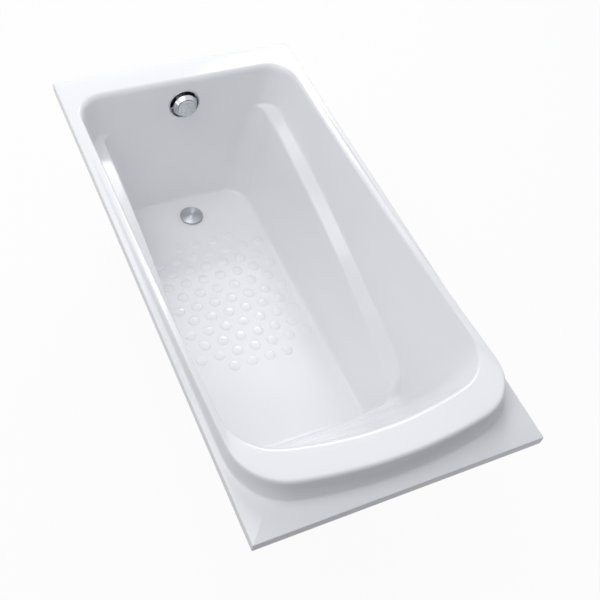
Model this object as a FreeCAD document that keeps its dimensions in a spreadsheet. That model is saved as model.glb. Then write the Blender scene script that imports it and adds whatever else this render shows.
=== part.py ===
import FreeCAD, Part
import math
import os
import re
import Sketcher
from FreeCAD import Placement, Rotation, Vector

# Built-in bathtub with a raised headrest collar, side armrests and a rotary pop-up waste.
# Millimetres. +X points to the drain end, +Y to the left of a bather who faces the drain, +Z up.
# The origin is on the ground, under the middle of the rim's rectangle.

SIZES = {
    "Rim": {
        "rim_length": (1500, "outside length of the rim"),
        "rim_width": (740, "outside width of the rim"),
        "rim_height": (580, "top of the flat rim above the ground"),
        "skirt_height": (26, "turned-down edge below the rim's top"),
        "wall": (6, "moulded sheet with its backing"),
        "rim_edge_round": (2, "rounding of the rim's outer edges"),
        "cut_overrun": (10, "holes' cutting shapes beyond the wall"),
    },
    "Collar round the head end": {
        "foot_head": (35, "flat rim in front of the collar at the head end"),
        "foot_side": (14, "flat rim beside the collar"),
        "foot_drain": (38, "flat rim at the drain end up to where the moulding starts"),
        "collar_height": (65, "crest above the flat rim at the head end"),
        "collar_reach": (1201, "length over which the collar fades out towards the drain end"),
        "collar_lean_head": (14, "outer face, foot to crest, at the head end"),
        "collar_lean_side": (6, "outer face, foot to crest, at the sides and the drain end"),
        "collar_top_head": (89, "top of the collar, crest to lip, at the head end"),
        "collar_top_side": (18, "top of the collar, crest to lip, at the sides"),
        "collar_top_drain": (42, "crest outline to lip at the drain end"),
        "foot_bow": (1200, "curve of the collar's foot across the head end"),
        "crest_bow": (1190, "curve of the crest across the head end"),
        "lip_bow": (930, "curve of the inner lip across the head end"),
        "foot_head_corner": (150, "corner of the foot at the head end"),
        "crest_head_corner": (140, "corner of the crest at the head end"),
        "lip_head_corner": (135, "corner of the lip at the head end"),
        "foot_drain_corner": (90, "corner of the foot outline at the drain end"),
        "crest_drain_corner": (88, "corner of the crest outline at the drain end"),
        "lip_drain_corner": (85, "corner of the lip at the drain end"),
        "foot_round": (6, "rounding at the collar's foot"),
        "crest_round": (9, "rounding of the crest"),
        "lip_round": (15, "rounding of the lip at the head end and the sides"),
        "lip_round_drain": (34, "rounding of the lip at the drain end"),
        "filled_width": (36, "a collar narrower than this is filled with backing"),
        "hollow_width": (60, "a collar wider than this is hollow below"),
    },
    "Well": {
        "well_depth": (474, "floor below the flat rim"),
        "floor_head": (413, "floor's head edge from the rim's head edge"),
        "drain_wall_lean": (34, "drain end's wall, lip to floor"),
        "backrest_lean": (256, "backrest from the floor's head edge to where its plane meets the rim"),
        "upper_wall_lean": (32, "side wall, lip to armrest"),
        "arm_width": (41, "armrest across at the drain end"),
        "arm_taper": (12, "what the armrest's outer edge is drawn in towards the head end"),
        "lower_wall_lean": (49, "side wall, armrest to floor"),
        "arm_drop": (143, "armrest's inner edge below the rim at the drain end"),
        "arm_fall": (192, "fall of the armrest over its length"),
        "arm_start": (150, "where the armrest begins to fall, from the drain edge"),
        "arm_length": (948, "length over which the armrest falls"),
        "arm_rise_drain": (5, "armrest's outer edge above its inner edge at the drain end"),
        "arm_rise_head": (45, "what the outer edge gains on the inner one towards the head end"),
        "arm_outer_end": (434, "where the outer edge turns down into the backrest, from the head edge"),
        "arm_inner_end": (402, "where the inner edge turns down into the backrest, from the head edge"),
        "backrest_fold_upper": (111, "upper fold line on the backrest above the floor"),
        "backrest_fold_lower": (70, "lower fold line on the backrest above the floor"),
        "arm_outer_bow": (2500, "curve of the upper fold line across the backrest"),
        "arm_inner_bow": (3000, "curve of the lower fold line across the backrest"),
        "floor_bow": (4000, "curve of the floor's head edge"),
        "arm_outer_head_corner": (60, "corner of the outer edge at the head end"),
        "arm_inner_head_corner": (35, "corner of the inner edge at the head end"),
        "floor_head_corner": (24, "corner of the floor at the head end"),
        "arm_outer_drain_corner": (58, "corner of the outer edge at the drain end"),
        "arm_inner_drain_corner": (34, "corner of the inner edge at the drain end"),
        "floor_drain_corner": (85, "corner of the floor at the drain end"),
        "arm_round": (9, "rounding of the armrest's edges"),
        "floor_round": (19, "rounding between the walls and the floor"),
        "floor_margin": (57, "strip inside the floor's edge line that runs into the rounding"),
    },
    "Non-slip dots": {
        "dot_radius": (17.5, "dot at the floor"),
        "dot_top_radius": (14.5, "dot's flat top"),
        "dot_height": (1.4, "dot above the floor"),
        "dot_root": (1.4, "dot's cone below the floor's face"),
        "dot_pitch_across": (57, "dots along a row across the tub"),
        "dot_pitch_along": (47.5, "rows of dots along the tub"),
        "dot_gap": (117.5, "nearest row of dots from the drain's centre"),
        "dot_margin": (20, "least flat strip between a dot and the floor's edge line"),
    },
    "Waste": {
        "drain_place": (205, "drain's centre from the rim's drain edge"),
        "drain_hole_radius": (26, "hole in the floor"),
        "seal_thickness": (2, "upper and lower waste seals"),
        "flange_radius": (35, "waste flange in the tub"),
        "flange_thickness": (3, "waste flange"),
        "tail_radius": (24.7, "flange's threaded tail, outside"),
        "tail_bore": (20.5, "flange's tail, inside"),
        "tail_length": (36, "flange's tail below the flange"),
        "guide_height": (8, "stem guide in the tail"),
        "guide_drop": (14, "stem guide's top below the flange's top"),
        "guide_radius": (6, "stem guide's hub"),
        "guide_arm_width": (3, "arms of the stem guide"),
        "running_clearance": (0.05, "radial clearance of a running fit"),
        "fit_clearance": (0.1, "radial clearance of a joined pipe or neck"),
        "cup_radius": (30, "waste body's cup, outside"),
        "cup_lip_radius": (34, "waste body's upper lip"),
        "cup_lip_height": (6, "waste body's upper lip"),
        "cup_depth": (58, "waste body's cup, top to bottom"),
        "cup_floor": (3, "bottom of the waste body's cup"),
        "pipe_radius": (20, "waste and overflow pipes, outside"),
        "pipe_bore": (17.5, "waste and overflow pipes, inside"),
        "socket_radius": (24, "pipe sockets, outside"),
        "socket_depth": (20, "pipe into its socket"),
        "run_drop": (44, "centre of the horizontal run below the floor's top"),
        "run_socket": (55, "mouth of the waste body's socket from the drain's centre"),
        "pipe_place": (47, "overflow pipe's centre from the rim's drain edge"),
        "tee_reach": (43, "mouths of the tee's sockets from its centre"),
        "tee_drop": (24, "end of the tee's barrel below the run's centre"),
        "outlet_length": (26, "outlet spigot below the tee's barrel"),
        "nut_radius": (28, "slip nuts, outside"),
        "nut_length": (18, "slip nuts, along the pipe"),
        "nut_lip": (4, "slip nut's inner lip"),
        "nut_overlap": (11, "slip nut over its socket"),
        "washer_radius": (23, "slip washers, outside"),
    },
    "Plug": {
        "plug_radius": (37, "plug's cover"),
        "plug_edge": (2, "plug's cover at its edge"),
        "plug_shoulder": (5, "plug's cover where its top flattens"),
        "plug_shoulder_radius": (31, "plug's cover where its top flattens"),
        "plug_dome": (6.8, "plug's cover half way in"),
        "plug_dome_radius": (17, "plug's cover half way in"),
        "plug_crown": (7.5, "plug's cover at its middle"),
        "plug_gap": (0.4, "closed cover above the flange"),
        "plug_neck_radius": (16, "plug's neck inside the flange"),
        "plug_neck_length": (8, "plug's neck below the cover"),
        "plug_seal_radius": (2.1, "plug's seal ring, cord radius"),
        "stem_radius": (3, "plug's stem"),
        "stem_grip": (5, "stem inside the plug's neck"),
        "stem_gap": (0.6, "stem's foot above the rocker when closed"),
        "clip_radius": (6, "clip on the stem"),
        "clip_thickness": (2, "clip on the stem"),
        "clip_drop": (12, "clip below the stem guide when closed"),
    },
    "Pop-up linkage": {
        "crank_radius": (9, "crank pin from the spindle's axis"),
        "crank_pin_radius": (2.5, "crank pin"),
        "crank_pin_length": (10, "crank pin beyond its web"),
        "crank_web_radius": (12.5, "crank web"),
        "crank_web_thickness": (4, "crank web"),
        "yoke_width": (33, "lift rod's yoke across"),
        "yoke_height": (13, "lift rod's yoke"),
        "yoke_thickness": (4, "lift rod's yoke"),
        "yoke_slot": (25, "slot for the crank pin"),
        "yoke_clearance": (0.6, "slot above and below the crank pin"),
        "rod_radius": (2.5, "lift rod"),
        "rod_foot_radius": (6, "lift rod's foot"),
        "rod_foot_height": (5, "lift rod's foot"),
        "rod_gap": (0.6, "lift rod's foot above the rocker"),
        "rocker_place": (130, "rocker's pivot from the rim's drain edge"),
        "rocker_width": (8, "rocker arm across"),
        "rocker_thickness": (6, "rocker arm"),
        "rocker_overhang": (5, "rocker arm beyond the stem and the rod"),
        "rocker_pin_radius": (2, "rocker's pivot pin"),
        "rocker_boss_radius": (5.5, "rocker's boss round its pin"),
    },
    "Overflow": {
        "overflow_drop": (86, "overflow's centre below the flat rim"),
        "overflow_hole_radius": (47, "hole in the drain end's wall"),
        "ring_radius": (49.5, "overflow's trim ring, outside"),
        "ring_thickness": (3, "overflow's trim ring"),
        "ring_bevel": (1.2, "bevel of the trim ring's edges"),
        "neck_radius": (46.6, "overflow's neck through the wall, outside"),
        "neck_bore": (45.4, "overflow's neck, inside"),
        "neck_length": (24, "overflow's neck behind the wall's face"),
        "strainer_drop": (14, "strainer behind the wall's face"),
        "strainer_thickness": (4, "strainer across the neck"),
        "strainer_rim": (3.5, "strainer's rim inside the neck"),
        "strainer_hub_radius": (8, "strainer's hub"),
        "strainer_hub_length": (16, "strainer's hub"),
        "strainer_arm_width": (5, "strainer's arms"),
        "overflow_seal_thickness": (3, "seal behind the wall"),
        "overflow_body_radius": (53, "overflow's body, outside"),
        "overflow_body_back": (66, "overflow's back behind the wall's face"),
        "overflow_back_wall": (4, "overflow body's back wall"),
        "overflow_socket_drop": (76, "mouth of the overflow's socket below its centre"),
    },
    "Knob": {
        "knob_base_radius": (38, "knob's rear edge"),
        "knob_base_lip": (2, "straight part of the knob's rear edge"),
        "knob_radius": (30.5, "knob's side where it meets the front"),
        "knob_face_radius": (27.8, "knob's raised front face"),
        "knob_stand_off": (8, "knob's rear edge in front of the wall"),
        "knob_shoulder": (22, "end of the knob's side in front of the wall"),
        "knob_height": (25, "knob's front face in front of the wall"),
        "knob_bevel": (0.8, "bevel of the front face"),
        "knob_groove_width": (1.6, "groove round the front face"),
        "knob_groove_depth": (2, "groove round the front face"),
        "knob_wall": (2.5, "knob's shell"),
        "knob_hub_radius": (8, "knob's hub"),
        "knob_hub_place": (3, "knob's hub in front of the wall"),
        "spindle_radius": (4, "knob's spindle"),
        "spindle_reach": (36, "spindle behind the wall's face"),
        "spindle_top": (18, "spindle in front of the wall's face"),
        "grub_screw_radius": (2, "knob's grub screw"),
        "grub_screw_place": (6.5, "knob's grub screw in front of the wall"),
    },
    "Base and rim timbers": {
        "board_thickness": (16, "board under the floor"),
        "board_head": (430, "board's head end from the rim's head edge"),
        "board_drain": (270, "board's drain end from the rim's drain edge"),
        "board_width": (350, "board across"),
        "board_corner": (30, "board's corners"),
        "batten_width": (13, "side battens under the rim"),
        "batten_height": (18, "battens under the rim"),
        "batten_gap": (1.5, "battens from the skirt"),
        "side_batten_head": (320, "side battens from the rim's head edge"),
        "side_batten_drain": (190, "side battens from the rim's drain edge"),
        "drain_batten_width": (32, "batten under the rim at the drain end"),
        "head_batten_width": (16, "batten under the rim at the head end"),
        "end_batten_length": (440, "battens under the rim at both ends"),
    },
    "Legs": {
        "head_bar_place": (500, "head end's leg bar from the rim's head edge"),
        "drain_bar_place": (350, "drain end's leg bar from the rim's drain edge"),
        "bar_length": (460, "leg bar across the tub"),
        "bar_width": (34, "leg bar"),
        "bar_height": (22, "leg bar"),
        "bar_wall": (2.5, "leg bar's sheet"),
        "foot_spread": (200, "foot from the tub's middle line"),
        "stud_radius": (5, "foot's stud"),
        "stud_clearance": (0.5, "stud in the leg bar's hole"),
        "stud_beyond": (14, "foot's stud above the leg bar"),
        "stud_base": (8, "foot's stud above the ground"),
        "pad_radius": (24, "foot's pad at the ground"),
        "pad_neck_radius": (11, "foot's pad at its top"),
        "pad_height": (18, "foot's pad"),
        "pad_edge": (5, "straight edge of the foot's pad"),
        "lock_nut_radius": (9.8, "lock nut across its corners, radius"),
        "lock_nut_height": (8, "lock nut"),
        "bar_screw_spread": (150, "outer leg bar screws from the tub's middle line"),
        "bar_screw_inner_spread": (60, "inner leg bar screws from the tub's middle line"),
        "bar_screw_head_radius": (5, "leg bar screw's head"),
        "bar_screw_head_height": (3, "leg bar screw's head"),
        "bar_screw_radius": (2.4, "leg bar screw's shank"),
        "bar_screw_length": (14, "leg bar screw beyond its head"),
    },
}

# Shares and counts
LIP_HEIGHT_SHARE = 0.8
COLLAR_FADE_SHARE = 1.8
COLLAR_FILL_SHARE = 1 / 3
ARM_FALL_SHARE = 1.55
ARM_RISE_SHARE = 1.5
CORNER_POLE_SHARES = (-1.2, -0.56, 0.56, 1.2)
LEAST_CORNER_SHARE = 0.3
SEGMENT_SHARE = 0.45
RIM_SEGMENT_SHARE = 0.8
WALL_POLE_SHARES = (1 / 3, 2 / 3)
FLAT_TOLERANCE_SHARE = 0.001
EDGE_TOLERANCE_SHARE = 0.01
OUTLINE_COUNTS = (5, 8, 12, 8, 4)
DOT_ROWS = 11
GUIDE_ARMS = 3
STRAINER_ARMS = 3
CRANK_START_ANGLE = 45

doc = FreeCAD.newDocument("Bathtub")


def make_sheet():
    """The spreadsheet of driving sizes: name, value, note; each value has its name as its alias."""
    cells = doc.addObject("Spreadsheet::Sheet", "Sizes")
    row = 1
    for heading, sizes in SIZES.items():
        cells.set(f"A{row}", heading)
        row += 1
        for name, (value, note) in sizes.items():
            cells.set(f"A{row}", name)
            cells.set(f"B{row}", str(value))
            cells.set(f"C{row}", note)
            cells.setAlias(f"B{row}", name)
            row += 1
    cells.recompute()
    return cells


sheet = make_sheet()
NAMES = {name for sizes in SIZES.values() for name in sizes}


class Values:
    """The sheet's values by name, for the shapes that a formula makes."""

    def __getattr__(self, name):
        return float(sheet.get(name))


size = Values()
nodes = []


def bound(text):
    """An expression whose sizes are read from the sheet."""
    return re.sub(r"[a-z_]+", lambda word: ("Sizes." if word[0] in NAMES else "") + word[0], text)


def bind(obj, **expressions):
    for name, text in expressions.items():
        obj.setExpression(name, bound(text))


def place(obj, x="0", y="0", z="0"):
    """Bind an object's place to expressions."""
    for axis, text in zip("xyz", (x, y, z)):
        if text != "0":
            obj.setExpression(f".Placement.Base.{axis}", bound(text))
    return obj


def node(obj, label):
    """Name an object as one of the part's pieces."""
    obj.Label = label
    nodes.append(obj)
    return obj


# Places that several pieces share

HEAD_EDGE = "(-rim_length / 2)"
DRAIN_EDGE = "(rim_length / 2)"
FLOOR_TOP = "(rim_height - well_depth)"
UNDERSIDE = "(rim_height - well_depth - wall)"
RIM_UNDERSIDE = "(rim_height - wall)"
DRAIN_X = "(rim_length / 2 - drain_place)"
PIPE_X = "(rim_length / 2 - pipe_place)"
ROCKER_X = "(rim_length / 2 - rocker_place)"
RUN_Z = "(rim_height - well_depth - run_drop)"
FLANGE_BASE = "(rim_height - well_depth + seal_thickness)"
FLANGE_TOP = "(rim_height - well_depth + seal_thickness + flange_thickness)"
PLUG_BASE = "(rim_height - well_depth + seal_thickness + flange_thickness + plug_gap)"
BAR_TOP = "(rim_height - well_depth - wall - board_thickness)"
OVERFLOW_Z = "(rim_height - overflow_drop)"
LIP_DRAIN_X = "(rim_length / 2 - foot_drain - collar_lean_side - collar_top_drain)"
OVERFLOW_X = f"({LIP_DRAIN_X} - drain_wall_lean * overflow_drop / well_depth)"
HALF_STROKE = f"(crank_radius * sin({CRANK_START_ANGLE} deg))"
NEAR_ARM = "(drain_place - rocker_place)"
FAR_ARM = "(rocker_place - pipe_place)"
CLIP_TOP = f"({FLANGE_TOP} - guide_drop - guide_height - clip_drop)"
BAR_PLACES = (f"({HEAD_EDGE} + head_bar_place)", f"({DRAIN_EDGE} - drain_bar_place)")
BAR_NAMES = ("head_end", "drain_end")
STUD_LENGTH = f"({BAR_TOP} + stud_beyond - stud_base)"
BAR_SCREW_PLACES = ("-bar_screw_spread", "-bar_screw_inner_spread",
                    "bar_screw_inner_spread", "bar_screw_spread")
SIDES = {"left": "foot_spread", "right": "-foot_spread"}


# Sketches and bodies

def add_sketch(body, role, loops=(), circles=()):
    """A sketch of closed polygons and circles whose points are bound to expressions."""
    sketch = body.newObject("Sketcher::SketchObject", "Sketch")
    sketch.AttachmentSupport = [(next(f for f in body.Origin.OriginFeatures if f.Role == role), "")]
    sketch.MapMode = "FlatFace"
    for corners in loops:
        add_polygon(sketch, corners)
    for centre, radius in circles:
        ring = sketch.addGeometry(Part.Circle(Vector(0, 0, 0), Vector(0, 0, 1), 1), False)
        bind_point(sketch, ring, 3, centre)
        index = sketch.addConstraint(Sketcher.Constraint("Radius", ring, 1))
        sketch.setExpression(f"Constraints[{index}]", bound(radius))
    return sketch


def add_polygon(sketch, corners):
    count = len(corners)
    turn = 2 * math.pi / count
    start = [Vector(math.cos(turn * i), math.sin(turn * i), 0) for i in range(count)]
    lines = [sketch.addGeometry(Part.LineSegment(start[i], start[(i + 1) % count]), False)
             for i in range(count)]
    for i in range(count):
        sketch.addConstraint(Sketcher.Constraint("Coincident", lines[i - 1], 2, lines[i], 1))
        bind_point(sketch, lines[i], 1, corners[i])


def bind_point(sketch, geometry, position, point):
    for kind, text in zip(("DistanceX", "DistanceY"), point):
        index = sketch.addConstraint(Sketcher.Constraint(kind, -1, 1, geometry, position, 0))
        if text != "0":
            sketch.setExpression(f"Constraints[{index}]", bound(text))


def turned(name, corners):
    """A body turned about its own Z axis; corners are radius and height."""
    body = doc.addObject("PartDesign::Body", name)
    sketch = add_sketch(body, "XZ_Plane", [corners])
    turn = body.newObject("PartDesign::Revolution", "Turn")
    turn.Profile = (sketch, [""])
    turn.ReferenceAxis = (sketch, ["V_Axis"])
    turn.Angle = 360
    return body


def padded(name, role, loops, length, circles=(), both_ways=False):
    """A body padded from a sketch on one of its origin planes."""
    body = doc.addObject("PartDesign::Body", name)
    sketch = add_sketch(body, role, loops, circles)
    pad = body.newObject("PartDesign::Pad", "Pad")
    pad.Profile = (sketch, [""])
    pad.Midplane = both_ways
    bind(pad, Length=length)
    return body


def drilled(body, circles):
    """Round holes along the body's Z axis, right through it."""
    sketch = add_sketch(body, "XY_Plane", circles=circles)
    pocket = body.newObject("PartDesign::Pocket", "Holes")
    pocket.Profile = (sketch, [""])
    pocket.Type = "ThroughAll"
    pocket.Midplane = True
    return body


def rectangle(x0, x1, y0, y1):
    return [(x0, y0), (x1, y0), (x1, y1), (x0, y1)]


# Primitives and booleans

TURNS = {"Z": (Vector(0, 0, 1), 0), "X": (Vector(0, 1, 0), 90), "Y": (Vector(1, 0, 0), -90)}


def cylinder(name, radius, length, x="0", y="0", z="0", axis="Z"):
    obj = doc.addObject("Part::Cylinder", name)
    bind(obj, Radius=radius, Height=length)
    obj.Placement = Placement(Vector(0, 0, 0), Rotation(*TURNS[axis]))
    return place(obj, x, y, z)


def joined(name, shapes):
    obj = doc.addObject("Part::MultiFuse", name)
    obj.Shapes = shapes
    return obj


def cut(name, base, tool):
    obj = doc.addObject("Part::Cut", name)
    obj.Base = base
    obj.Tool = tool
    return obj


def group(name, shapes):
    """Separate solids that share one node."""
    obj = doc.addObject("Part::Compound", name)
    obj.Links = shapes
    return obj


def spokes(name, count, reach, width, height, z):
    """Arms from the Z axis outwards."""
    arms = []
    for i in range(count):
        angle = 360 * i / count
        arm = doc.addObject("Part::Box", f"{name}_{i + 1}")
        bind(arm, Length=reach, Width=width, Height=height)
        arm.Placement = Placement(Vector(0, 0, 0), Rotation(Vector(0, 0, 1), angle))
        place(arm, f"{width} / 2 * sin({angle} deg)", f"-{width} / 2 * cos({angle} deg)", z)
        arms.append(arm)
    return arms


# Outlines of the moulding, seen from above

def outline(head, drain, half, bow, head_corner, drain_corner):
    """Half an outline: from the middle of the head end, along the left side, to the drain end's middle."""
    head_points, corner_points, side_points, drain_corner_points, drain_points = OUTLINE_COUNTS
    across = half - head_corner
    along = head + bow - math.sqrt((bow - head_corner) ** 2 - across ** 2)
    lean = math.asin(across / (bow - head_corner))
    points = []
    for i in range(head_points):
        angle = lean * i / head_points
        points.append((head + bow - bow * math.cos(angle), bow * math.sin(angle)))
    for i in range(corner_points):
        angle = lean + (math.pi / 2 - lean) * i / corner_points
        points.append((along - head_corner * math.cos(angle), across + head_corner * math.sin(angle)))
    for i in range(side_points):
        points.append((along + (drain - drain_corner - along) * i / side_points, half))
    for i in range(drain_corner_points):
        angle = math.pi / 2 * i / drain_corner_points
        points.append((drain - drain_corner + drain_corner * math.sin(angle),
                       half - drain_corner + drain_corner * math.cos(angle)))
    for i in range(drain_points + 1):
        points.append((drain, (half - drain_corner) * (1 - i / drain_points)))
    points[1] = (points[0][0], points[1][1])
    return points


def collar_height(x):
    """Crest above the rim: full at the head end, fading out towards the drain end."""
    crest_head = -size.rim_length / 2 + size.foot_head + size.collar_lean_head
    along = (crest_head + size.collar_reach - x) / size.collar_reach
    return size.collar_height * min(max(along, 0), 1) ** COLLAR_FADE_SHARE


def arm_along(x, end):
    """Share of the armrest's length from its start at the drain end to a place along the bath."""
    turn = -size.rim_length / 2 + end
    start = size.rim_length / 2 - size.arm_start
    return max(start - max(x, turn), 0) / size.arm_length


def drawn_in(points, half):
    """The armrest's outer edge, drawn in where the armrest lies low."""
    drawn = []
    for x, y in points:
        taper = size.arm_taper * arm_along(x, size.arm_outer_end) ** ARM_RISE_SHARE
        drawn.append((x, y * (1 - taper / half)))
    return drawn


def arm_height(x, rise, end, fold):
    """Armrest's edge below the rim: it falls towards the head end, then dives into the backrest."""
    along = arm_along(x, end)
    level = -size.arm_drop - size.arm_fall * along ** ARM_FALL_SHARE
    if rise:
        level += size.arm_rise_drain + size.arm_rise_head * along ** ARM_RISE_SHARE
    turn = -size.rim_length / 2 + end
    dive = max(turn - x, 0) * size.well_depth / size.backrest_lean
    return max(level - dive, fold - size.well_depth)


def moulding_lines():
    """The lines that carry the moulding, from the rim to the floor, each a list of points."""
    s = size
    head = -s.rim_length / 2
    drain = s.rim_length / 2
    half = s.rim_width / 2
    foot = outline(head + s.foot_head, drain - s.foot_drain, half - s.foot_side,
                   s.foot_bow, s.foot_head_corner, s.foot_drain_corner)
    crest_head = head + s.foot_head + s.collar_lean_head
    crest_drain = drain - s.foot_drain - s.collar_lean_side
    crest_half = half - s.foot_side - s.collar_lean_side
    crest = outline(crest_head, crest_drain, crest_half,
                    s.crest_bow, s.crest_head_corner, s.crest_drain_corner)
    lip_drain = crest_drain - s.collar_top_drain
    lip_half = crest_half - s.collar_top_side
    lip = outline(crest_head + s.collar_top_head, lip_drain, lip_half,
                  s.lip_bow, s.lip_head_corner, s.lip_drain_corner)
    wall_slope = s.drain_wall_lean / s.well_depth
    back_slope = s.backrest_lean / s.well_depth
    floor_head = head + s.floor_head
    arm_outer_half = lip_half - s.upper_wall_lean
    arm_outer = outline(floor_head - back_slope * s.backrest_fold_upper,
                        lip_drain - wall_slope * (s.arm_drop - s.arm_rise_drain), arm_outer_half,
                        s.arm_outer_bow, s.arm_outer_head_corner, s.arm_outer_drain_corner)
    arm_outer = drawn_in(arm_outer, arm_outer_half)
    arm_inner_half = arm_outer_half - s.arm_width
    arm_inner = outline(floor_head - back_slope * s.backrest_fold_lower,
                        lip_drain - wall_slope * s.arm_drop, arm_inner_half,
                        s.arm_inner_bow, s.arm_inner_head_corner, s.arm_inner_drain_corner)
    floor = outline(floor_head, lip_drain - s.drain_wall_lean, arm_inner_half - s.lower_wall_lean,
                    s.floor_bow, s.floor_head_corner, s.floor_drain_corner)
    return [
        [Vector(x, y, 0) for x, y in foot],
        [Vector(x, y, collar_height(x)) for x, y in crest],
        [Vector(x, y, LIP_HEIGHT_SHARE * collar_height(x)) for x, y in lip],
        [Vector(x, y, arm_height(x, True, s.arm_outer_end, s.backrest_fold_upper)) for x, y in arm_outer],
        [Vector(x, y, arm_height(x, False, s.arm_inner_end, s.backrest_fold_lower)) for x, y in arm_inner],
        [Vector(x, y, -s.well_depth) for x, y in floor],
    ]


def moved_along(start, end, length):
    """The point at a plan distance beyond start, away from end."""
    way = Vector(start.x - end.x, start.y - end.y, 0)
    return start + way.normalize() * length


def mirrored(point):
    return Vector(point.x, -point.y, point.z)


def line_direction(line, i):
    """Direction along a line at one point; the line goes on into the other half at its ends."""
    after = line[i + 1] if i + 1 < len(line) else mirrored(line[i - 1])
    before = line[i - 1] if i else mirrored(line[1])
    return after - before


def outward_normal(lines, k, i):
    """Normal of the moulding between lines k and k + 1, pointing out of the bath."""
    down = lines[k + 1][i] - lines[k][i]
    along = line_direction(lines[k], i) + line_direction(lines[k + 1], i)
    return along.cross(down).normalize()


def clamped_share(value, low, high):
    return min(max((value - low) / (high - low), 0), 1)


def framed(lines, flat_rim, flat_floor):
    """The lines with one more on the flat rim outside them and one more on the floor inside."""
    rim = [moved_along(lines[0][i], lines[1][i], flat_rim) for i in range(len(lines[0]))]
    floor = [moved_along(lines[-1][i], lines[-2][i], flat_floor) for i in range(len(lines[0]))]
    return [rim] + lines + [floor]


def under_lines(lines, flat_rim, flat_floor):
    """The lines of the moulding's outside, one wall away; a narrow collar is filled up to them."""
    s = size
    front = framed(lines, flat_rim, flat_floor)
    under = []
    for k in range(1, len(front) - 1):
        line = []
        for i in range(len(front[k])):
            above = outward_normal(front, k - 1, i)
            below = outward_normal(front, k, i)
            line.append(front[k][i] + (above + below) * (s.wall / (1 + above.dot(below))))
        under.append(line)
    foot, crest, lip, arm = under[:4]
    for i in range(len(foot)):
        width = Vector(lines[0][i].x - lines[2][i].x, lines[0][i].y - lines[2][i].y, 0).Length
        hollow = clamped_share(width, s.filled_width, s.hollow_width)
        down = (lip[i].z + s.wall) / (lip[i].z - arm[i].z)
        flat_lip = lip[i] + (arm[i] - lip[i]) * down
        flat_crest = foot[i] + (flat_lip - foot[i]) * COLLAR_FILL_SHARE
        crest[i] = flat_crest + (crest[i] - flat_crest) * hollow
        lip[i] = flat_lip + (lip[i] - flat_lip) * hollow
    return under


def corner_poles(before, corner, after, radius, share_before):
    """Poles that round a corner between two straight stretches."""
    into = corner - before
    out = after - corner
    half_turn = into.getAngle(out) / 2
    reach = CORNER_POLE_SHARES[-1]
    tangent = min(radius * max(math.tan(half_turn), LEAST_CORNER_SHARE),
                  into.Length * share_before / reach, out.Length * SEGMENT_SHARE / reach)
    into.normalize()
    out.normalize()
    return [corner + (out if share > 0 else into) * (share * tangent) for share in CORNER_POLE_SHARES]


def lip_radius(x):
    """The lip is rounded more where the drain end's wall meets the rim."""
    start = size.rim_length / 2 - size.drain_place
    end = size.rim_length / 2 - size.foot_drain - size.collar_top_drain
    return size.lip_round + (size.lip_round_drain - size.lip_round) * clamped_share(x, start, end)


def surface_poles(lines, wall, flat_rim, flat_floor):
    """Rows of poles from the rim to the floor. Wall is 0 on the bath's face and the sheet outside it."""
    s = size
    full = framed(lines, flat_rim, flat_floor)
    radii = (s.foot_round + wall, s.crest_round - wall, None, s.arm_round + wall,
             s.arm_round - wall, s.floor_round + wall)
    rows = []
    for i in range(len(lines[0])):
        row = []
        for k in range(len(lines)):
            radius = radii[k] if radii[k] else lip_radius(lines[k][i].x) - wall
            share = SEGMENT_SHARE if k else RIM_SEGMENT_SHARE
            row += corner_poles(full[k][i], full[k + 1][i], full[k + 2][i], radius, share)
            if k in (2, 4):
                stretch = full[k + 2][i] - full[k + 1][i]
                row += [full[k + 1][i] + stretch * share for share in WALL_POLE_SHARES]
        rows.append(row)
    for end, beside in ((0, 1), (-1, -2)):
        rows[beside] = [Vector(p.x, q.y, p.z) for p, q in zip(rows[end], rows[beside])]
    return rows


def spline_face(rows):
    """A smooth face over a net of poles."""
    knots = []
    repeats = []
    for count in (len(rows), len(rows[0])):
        inner = count - 2
        knots.append([float(i) for i in range(inner)])
        repeats.append([4] + [1] * (inner - 2) + [4])
    surface = Part.BSplineSurface()
    surface.buildFromPolesMultsKnots(rows, repeats[0], repeats[1], knots[0], knots[1], False, False, 3, 3)
    return surface.toShape()


def both_halves(face):
    return [face, face.mirror(Vector(0, 0, 0), Vector(0, 1, 0))]


def edges_at(faces, height):
    """The faces' boundary edges that lie flat at one height, as one closed wire."""
    tolerance = size.wall * FLAT_TOLERANCE_SHARE
    edges = [edge for face in faces for edge in face.Edges
             if all(abs(vertex.Z - height) < tolerance for vertex in edge.Vertexes)
             and abs(edge.CenterOfMass.z - height) < tolerance]
    return Part.Wire(Part.__sortEdges__(edges))


def flat_face(*wires):
    return Part.makeFace(list(wires), "Part::FaceMakerBullseye")


def rim_wire(inset, height):
    x = size.rim_length / 2 - inset
    y = size.rim_width / 2 - inset
    corners = [Vector(x, y, height), Vector(-x, y, height), Vector(-x, -y, height), Vector(x, -y, height)]
    return Part.makePolygon(corners + corners[:1])


def upright_faces(inset, top, foot):
    """Flat faces between the rim's outline at two heights."""
    upper = [vertex.Point for vertex in rim_wire(inset, top).OrderedVertexes]
    lower = [vertex.Point for vertex in rim_wire(inset, foot).OrderedVertexes]
    return [Part.Face(Part.makePolygon([upper[i - 1], upper[i], lower[i], lower[i - 1], upper[i - 1]]))
            for i in range(len(upper))]


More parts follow.
